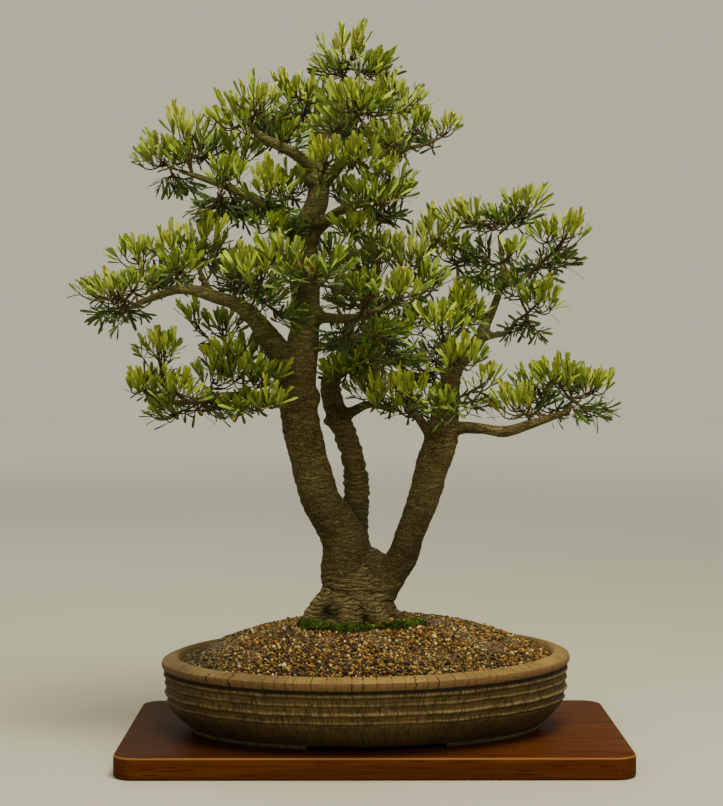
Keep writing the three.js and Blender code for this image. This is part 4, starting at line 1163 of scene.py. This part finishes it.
# %% Sprays and their tufts
SPRAYS = {
    "apex": ["leader", 1, [[-28, -40, 925, 26, 0.1], [-54, -20, 900, 20, 0.5], [3, -56, 899, 19, 0.3]]],
    "top_front": ["top_right", 1, [[-27, -140, 849, 21, 0.15], [-3, -122, 836, 18, 0.4],
        [-52, -100, 816, 17, 0.35]]],
    "top_back": ["leader", 0.62, [[-42, 76, 853, 20, 0.5], [-65, 96, 883, 19, 0.5]]],
    "top_crest_left": ["leader_left", 1, [[-106, -12, 875, 22, 0.1], [-94, 44, 851, 19, 0.5]]],
    "top_tip_left": ["top_left", 1, [[-149, -56, 858, 23, 0.1], [-181, -40, 831, 22, 0.15]]],
    "top_low_left": ["top_left", 0.62, [[-143, 36, 831, 20, 0.5], [-121, 72, 830, 18, 0.6],
        [-112, -20, 812, 19, 0.45]]],
    "top_crest_right": ["top_right", 0.86, [[22, -40, 866, 20, 0.15], [48, -12, 860, 13, 0.3]]],
    "right_tip": ["top_far_right", 1, [[98, -12, 821, 11, 0.05], [72, 0, 806, 13, 0.7]]],
    "right_upper": ["top_far_right", 0.6, [[52, -36, 828, 17, 0.15], [14, -96, 800, 19, 0.3],
        [36, 52, 809, 19, 0.4]]],
    "front_knot": ["trunk_a", 0.97, [[-62, -122, 774, 16, 0.1]]],
    "inner_right": ["top_right", 0.5, [[-18, -126, 774, 18, 0.2], [-28, 68, 825, 19, 0.6]]],
    "right_shelf": ["upper_right", 1, [[18, -40, 762, 20, 0.2], [34, -16, 736, 15, 0.3]]],
    "right_shelf_front": ["upper_right", 0.75, [[-3, -108, 730, 20, 0.3], [14, -8, 709, 18, 0.8]]],
    "right_under": ["upper_right", 0.45, [[-24, -88, 689, 18, 0.3], [-36, 28, 743, 19, 0.5],
        [-86, -58, 690, 14, 0.95]]],
    "left_tip": ["upper_left", 1, [[-283, -20, 788, 18, 0.15], [-260, -8, 750, 15, 0.9]]],
    "left_crest": ["upper_left", 0.88, [[-244, -32, 820, 24, 0.15], [-214, 28, 801, 20, 0.5],
        [-250, -36, 780, 15, 0.4]]],
    "left_shoulder": ["upper_left", 0.66, [[-187, -72, 762, 22, 0.3], [-172, 8, 796, 19, 0.4],
        [-209, -20, 721, 18, 0.8], [-178, 28, 721, 19, 0.8]]],
    "left_inner": ["upper_left", 0.3, [[-134, -64, 747, 21, 0.15], [-127, -54, 712, 17, 0.7],
        [-104, 68, 757, 20, 0.3], [-130, -74, 690, 17, 0.35]]],
    "shelf_left_far": ["mid_left", 0.88, [[-313, -12, 660, 16, 0.2], [-278, 28, 625, 19, 0.6]]],
    "shelf_left_crest": ["mid_left", 0.74, [[-258, -32, 669, 21, 0.15], [-244, -88, 641, 18, 0.4]]],
    "shelf_left_mid": ["mid_left_rise", 1, [[-220, -40, 677, 23, 0.2], [-210, 32, 658, 17, 0.5]]],
    "shelf_left_inner": ["mid_left", 0.45, [[-184, -16, 637, 20, 0.7], [-176, 44, 618, 18, 0.7]]],
    "shelf_tip": ["mid_left", 1, [[-342, -32, 612, 18, 0.1], [-373, 4, 608, 11, 0.4],
        [-328, -8, 584, 22, 0.9], [-306, -44, 621, 17, 0.3]]],
    "front_left": ["mid_left", 0.36, [[-140, -122, 637, 21, 0.1], [-170, -96, 640, 17, 0.3],
        [-132, -74, 600, 18, 0.5], [-108, -66, 578, 15, 0.6]]],
    "front_trunk": ["mid_front", 1, [[-93, -144, 626, 20, 0.7], [-53, -150, 633, 20, 0.5],
        [-120, -118, 652, 18, 0.35], [-30, -120, 610, 17, 0.5]]],
    "back_trunk": ["mid_back", 1, [[-54, 183, 675, 21, 0.5], [-85, 174, 654, 20, 0.6],
        [-28, 170, 634, 21, 0.6]]],
    "mid_right_crest": ["mid_right", 0.8, [[6, -36, 665, 21, 0.35], [-17, 68, 649, 20, 0.5]]],
    "mid_right_front": ["mid_right", 0.62, [[-3, -122, 612, 19, 0.4], [-36, -80, 595, 15, 0.8],
        [14, -4, 545, 20, 0.8], [-44, -28, 550, 16, 0.9], [18, -92, 556, 18, 0.5], [30, -60, 520, 18, 0.6]]],
    "mid_right_tip": ["mid_right", 1, [[49, -24, 657, 20, 0.15], [84, 4, 690, 23, 0.15]]],
    "mid_right_bright": ["mid_right", 0.92, [[35, -134, 611, 21, 0.2], [74, -16, 626, 18, 0.4]]],
    "b_top": ["trunk_b", 1, [[16, 104, 593, 21, 0.6], [52, 40, 577, 20, 0.4]]],
    "b_mid": ["trunk_b", 0.86, [[-39, 20, 505, 21, 0.3], [-4, 80, 513, 21, 0.6], [-10, -20, 520, 18, 0.5]]],
    "b_rear": ["b_back", 1, [[-17, 180, 569, 21, 0.6], [-46, 177, 538, 19, 0.7]]],
    "b_skirt": ["b_right", 1, [[19, -40, 474, 21, 0.15], [-2, 32, 486, 19, 0.4]]],
    "c_skirt": ["c_left", 1, [[47, -80, 483, 20, 0.15], [55, 28, 449, 16, 0.6]]],
    "c_rear": ["c_back", 1, [[83, 122, 529, 22, 0.8], [76, 80, 494, 21, 0.8]]],
    "c_crest": ["trunk_c", 0.6, [[82, -104, 570, 19, 0.25], [108, -112, 524, 20, 0.2]]],
    "c_face": ["c_front", 1, [[90, -136, 466, 19, 0.5]]],
    "c_twig": ["trunk_c", 0.5, [[148, -36, 494, 13, 0.2], [138, -16, 461, 13, 0.7]]],
    "c_peak": ["trunk_c", 1, [[200, 0, 727, 15, 0.1], [183, 4, 705, 15, 0.9], [116, -20, 706, 17, 0.15],
        [156, -12, 704, 17, 0.5]]],
    "c_heart": ["trunk_c", 0.88, [[137, 20, 660, 21, 0.95], [178, -56, 658, 12, 0.3],
        [136, -36, 626, 15, 0.9]]],
    "c_right_tip": ["c_top_right", 1, [[255, -12, 688, 15, 0.1], [226, -20, 682, 12, 0.2]]],
    "c_right_low": ["c_top_right", 0.8, [[244, 16, 653, 19, 0.9], [212, 40, 639, 17, 0.9]]],
    "c_side_tip": ["c_side", 1, [[219, -16, 601, 17, 0.2], [200, 12, 564, 16, 0.7],
        [188, -18, 612, 16, 0.7]]],
    "c_left_tip": ["c_top_left", 1, [[100, 0, 662, 15, 0.3], [117, -44, 589, 19, 0.25],
        [112, -52, 570, 16, 0.5]]],
    "reach_near": ["c_right", 0.72, [[187, -24, 466, 20, 0.15], [214, -12, 493, 16, 0.25],
        [227, 32, 458, 17, 0.8]]],
    "reach_tip": ["c_right", 1, [[263, 0, 492, 18, 0.2], [293, -12, 485, 14, 0.1], [284, -20, 454, 16, 0.9],
        [238, -32, 499, 17, 0.2]]],
    "low_tip": ["low_left", 1, [[-304, -40, 487, 14, 0.15], [-290, 20, 486, 18, 0.6]]],
    "low_crest": ["low_left", 0.86, [[-284, -20, 537, 15, 0.2], [-270, -52, 536, 13, 0.2],
        [-246, -72, 481, 20, 0.2]]],
    "low_heart": ["low_left", 0.66, [[-213, -12, 462, 21, 0.9], [-269, -28, 452, 15, 0.35],
        [-206, -34, 500, 16, 0.3]]],
    "low_inner": ["low_left", 0.36, [[-165, -64, 463, 20, 0.5], [-133, -92, 470, 16, 0.25],
        [-170, -54, 506, 17, 0.3], [-140, -60, 500, 15, 0.35]]],
    "low_rise": ["low_left_high", 1, [[-195, -40, 526, 20, 0.25], [-163, 36, 529, 20, 0.35],
        [-240, -8, 574, 13, 0.25], [-203, 0, 566, 14, 0.35]]],
}
print("sprays:", len(SPRAYS), "tufts:", sum(len(tufts) for _, _, tufts in SPRAYS.values()))

# %% [markdown]
# A tuft is a dome of eight or so upright shoots on thin twigs that leave one stem, with a few older
# shoots lower and further out and single dark leaves on the stem itself. Leaves leave a shoot one after
# the other at the golden angle. The lowest ones spread wide and are the oldest and darkest, and the top
# ones stand nearly upright and are the brightest: the darkness is partly the old leaves' own deeper green
# and partly painted shade inside the tuft. No two leaves have quite one length or lean. A function gives
# the places of the leaves of one shoot, and the same function serves all of them.

# %% Rules of growth
BARE_SPACING = 0.0065
draw = random.Random(5)


def across_and_beside(axis):
    """Two directions square to an axis."""
    across = axis.cross(Vector((0.31, 0.2, 0.93))).normalized()
    return across, axis.cross(across)


def leafy_shoot(foot, axis, stem, count, scale, age, wide, narrow):
    """Places of the leaves of one shoot, each as (model, place, age)."""
    across, beside = across_and_beside(axis)
    first_turn = draw.uniform(0, math.tau)
    placed = []
    for i in range(count):
        share = i / max(count - 1, 1)
        turn_now = first_turn + i * GOLDEN_ANGLE
        pitch = wide + (narrow - wide) * share**0.8 + draw.uniform(-0.20, 0.20)
        out = across * math.cos(turn_now) + beside * math.sin(turn_now)
        way = (out * math.sin(pitch) + axis * math.cos(pitch)).normalized()
        face = (axis - way * axis.dot(way)).normalized()
        side = face.cross(way)
        place = Matrix((
            (way.x, side.x, face.x, 0), (way.y, side.y, face.y, 0), (way.z, side.z, face.z, 0), (0, 0, 0, 1)
        ))
        length = scale * (0.78 + 0.30 * math.sin(math.pi * min(share + 0.15, 1))) * draw.uniform(0.74, 1.22)
        roll = Matrix.Rotation(draw.uniform(-0.45, 0.45), 4, "X")
        spot = Matrix.Translation(foot + axis * (stem * share))
        # Lower leaves are older and darker: partly their own deeper green, partly painted shade.
        leaf_age = min(max(age + draw.uniform(-0.12, 0.12) + 0.30 * (1 - share) ** 1.5, 0), 1)
        if age > 0.62:
            number = draw.choice((2, 3, 3))
        else:
            number = draw.choice((0, 0, 1, 2)) if share > 0.25 else draw.choice((0, 2))
        placed.append((number, spot @ place @ roll @ Matrix.Scale(length, 4), leaf_age))
    return placed


def grow_shoot(root, foot, axis, reach, count, size, age, twigs, placed):
    """Adds one shoot: its twig from the root to the foot and on, and leaves round the last part."""
    way = foot - root
    bow = Vector((0, 0, -0.14 * way.length))
    twigs.append([(root, 1.15), (root + way * 0.5 + bow, 1.0), (foot, 0.9), (foot + axis * reach, 0.5)])
    placed += leafy_shoot(foot, axis, reach, count, size, age, 0.85 + 0.35 * age, 0.12)


def grow_tuft(start, tuft, stems, twigs, placed):
    """Adds one tuft: its stem, its dome of shoots, the lower shoots about it and the old leaves."""
    x, y, z, size, age = tuft
    size *= MM
    centre = Vector((x, y, z)) * MM
    axis = (centre - start).normalized() * (0.40 + 0.5 * age) + Vector((0, 0, 1.15 - age))
    axis.normalize()
    foot = centre - axis * 0.55 * size
    span = (foot - start).length
    sag = Vector((0, 0, -0.06 * span))
    stems.append([(start, 1.9), (start.lerp(foot, 0.5) + sag, 1.7), (foot, 1.3)])
    unit = 0.82 + 8 * (size - 0.020)
    shoots = 8 if size > 0.0175 else 6 if size > 0.0135 else 4
    for k in range(shoots):
        share = math.sqrt((k + 0.2) / shoots)
        turn_now = k * GOLDEN_ANGLE + draw.uniform(-0.4, 0.4)
        out = Vector((math.cos(turn_now), math.sin(turn_now), 0))
        drop = 0.5 * share**2 + draw.uniform(-0.35, 0.25)
        shoot_foot = foot + out * size * 0.98 * share - Vector((0, 0, drop * size))
        stray = Vector((draw.uniform(-0.2, 0.2), draw.uniform(-0.2, 0.2), 0.2 - 0.3 * age))
        lean = (axis + out * (0.30 + 0.5 * age) * share + stray).normalized()
        root = start.lerp(foot, draw.uniform(0.55, 0.97)) + sag * 0.3
        shoot_age = min(max(age + 0.22 * drop + 0.06 * share, 0), 1)
        reach = size * (draw.uniform(1.3, 1.7) if k == shoots - 1 else draw.uniform(0.45, 1.12))
        leaf_size = unit * draw.uniform(0.85, 1.1)
        grow_shoot(root, shoot_foot, lean, reach, 10, leaf_size, shoot_age, twigs, placed)
    for _ in range(3 if shoots > 4 else 1):
        turn_now = draw.uniform(0, math.tau)
        out = Vector((math.cos(turn_now), math.sin(turn_now), 0))
        drop = draw.uniform(0.1, 0.95)
        shoot_foot = foot + out * size * draw.uniform(0.9, 1.45) - Vector((0, 0, drop * size))
        root = start.lerp(foot, draw.uniform(0.40, 0.85)) + sag * 0.6
        lean = (axis + out * 0.7).normalized()
        shoot_age = min(age + 0.15 + 0.35 * drop, 1)
        grow_shoot(root, shoot_foot, lean, 0.7 * size, 8, unit * 0.92, shoot_age, twigs, placed)
    old = int(span / BARE_SPACING)
    for i in range(old):
        share = 0.30 + 0.66 * (i + 0.5) / max(old, 1)
        spot = start.lerp(foot, share) + sag * (1 - abs(2 * share - 1))
        way = (foot - start).normalized()
        placed += leafy_shoot(spot, way, 0, 1, 0.80, min(age * 0.5 + 0.62, 1), 1.15, 1.15)


print("rules ready")

# %% [markdown]
# Each spray becomes one piece: its twigs as tapering tubes and its leaves as copies of the four models.
# The stem starts inside its limb, so no joint shows, and the piece stands for the solid spray of the
# same name. The leaf's age goes with it as a stored value, and so does a random one, which darkens some
# leaves as painted shade and turns a few rusty.

# %% Leaf and twig finishes
leaf_green = Finish("banksia_leaf", Specular_IOR_Level=0.15)
age = leaf_green.stored("tone")
dice = leaf_green.stored("dice")
along = leaf_green.stored("along")
margin = leaf_green.stored("margin")
under = leaf_green.stored("under")
mottle = leaf_green.cloud(leaf_green.places, 240.0, 3.0)
# Older leaves are darker green, and the darkest end of this ramp is painted shade inside the tufts.
upper_tone = leaf_green.ramp(
    age + (dice - 0.5) * 0.36,
    [(0.0, (0.450, 0.435, 0.028)), (0.20, (0.380, 0.420, 0.028)), (0.42, (0.315, 0.415, 0.032)),
     (0.66, (0.215, 0.335, 0.030)), (0.84, (0.048, 0.102, 0.012)), (1.0, (0.013, 0.036, 0.007))],
)
under_tone = leaf_green.ramp(
    age + (dice - 0.5) * 0.2,
    [(0.0, (0.380, 0.385, 0.058)), (0.30, (0.300, 0.345, 0.048)), (0.60, (0.150, 0.206, 0.034)),
     (1.0, (0.048, 0.082, 0.022))],
)
veins = (along * 74 + margin * 5).sine().between(0.55, 0.95)
midrib = 1 - margin.between(0.03, 0.16)
teeth = margin.between(0.70, 0.95) * (along * 52).sine().between(0.2, 0.7)
# Painted highlight: the margins of the younger leaves are lighter.
margin_highlight = margin.between(0.62, 0.98) * (1 - age.between(0.45, 0.90))
browned = along.between(0.93, 1.02) * dice.between(0.45, 0.9)
rusty = dice.between(0.960, 0.975) * age.between(0.35, 0.50)
leaf_tone = leaf_green.covered(
    upper_tone,
    (mottle.between(0.40, 0.75) * 0.25, (0.190, 0.230, 0.008)),
    (midrib * 0.30, (0.380, 0.380, 0.040)),
    (margin_highlight * 0.25, (0.420, 0.430, 0.070)),
    (veins * 0.10 + teeth * 0.25, (0.300, 0.310, 0.020)),
    (under, leaf_green.mix(midrib * 0.4, under_tone, (0.230, 0.200, 0.060))),
    (browned * 0.7, (0.120, 0.060, 0.010)),
    # Painted shade: each leaf is darker towards its base, near the stem.
    ((1 - along.between(0.05, 0.60)) * 0.36, (0.030, 0.050, 0.008)),
    # Painted shade: some leaves, picked at random, are darkened.
    ((dice * 83).sine().between(-0.3, 0.9) * 0.34, (0.040, 0.066, 0.010)),
    (rusty * 0.55, (0.200, 0.110, 0.020)),
)
leaf_green.wear(
    Base_Color=leaf_tone,
    Roughness=0.48 + under * 0.3 + mottle * 0.1,
    Normal=leaf_green.relief(midrib * 0.5 + veins * 0.25 + mottle * 0.25, 0.0003, 0.6),
)
twig_bark = Finish("brown_twig", Specular_IOR_Level=0.2)
twig_rings = twig_bark.cloud(twig_bark.places, 420.0, 3.0)
twig_bark.wear(
    Base_Color=twig_bark.ramp(
        twig_rings,
        [(0.32, (0.016, 0.009, 0.003)), (0.52, (0.060, 0.036, 0.012)), (0.70, (0.130, 0.080, 0.030))],
    ),
    Roughness=0.6 + twig_rings * 0.3,
    Normal=twig_bark.relief(twig_rings, 0.0005, 0.7),
)
print("finishes:", leaf_green.material.name, twig_bark.material.name)

# %% Sprays


def place_on(route, share):
    """A place along a route, share 1 being its tip."""
    where = share * (len(route) - 1)
    i = min(int(where), len(route) - 2)
    return (Vector(route[i][:3]).lerp(Vector(route[i + 1][:3]), where - i)) * MM


leaf_count = 0
foliage_triangles = 0
for name, (limb, share, tufts) in SPRAYS.items():
    start = place_on(LIMBS[limb], share)
    stems, twigs, placed = [], [], []
    stem_start = start
    for i, tuft in enumerate(tufts):
        grow_tuft(stem_start, tuft, stems, twigs, placed)
        if i == 0:
            stem_start = start.lerp(stems[0][2][0], 0.45)
    wooden = []
    for routes, roundness in ((stems, 1), (twigs, 0)):
        routes = [[(*(place / MM), radius) for place, radius in route] for route in routes]
        wooden.append(bent_tubes("twigs", routes, roundness, 2))
        dress(wooden[-1], twig_bark)
        bpy.ops.object.shade_smooth()
    blades = repeat(
        "blades", leaves, [(number, place) for number, place, _ in placed],
        {"tone": [leaf_age for _, _, leaf_age in placed], "dice": [draw.random() for _ in placed]},
    )
    dress(blades, leaf_green)
    only(blades)
    bpy.ops.object.shade_smooth_by_angle(angle=math.radians(38))
    only(blades, *wooden)
    bpy.ops.object.join()
    solid = f"spray_{name}"
    settle(blades, f"leaves_{name}", stands_for=[solid])
    leaf_count += len(placed)
    foliage_triangles += made[f"leaves_{name}"]
print("leaves:", leaf_count, "foliage:", foliage_triangles, "triangles")

# %% [markdown]
# Last, the triangles of all the pieces are counted. The looks may stand a little proud of the
# solids, but the object's size has to stay what it was.

# %% Triangle count and the end
print("triangles made:", sum(made.values()), "in", len(made), "pieces")
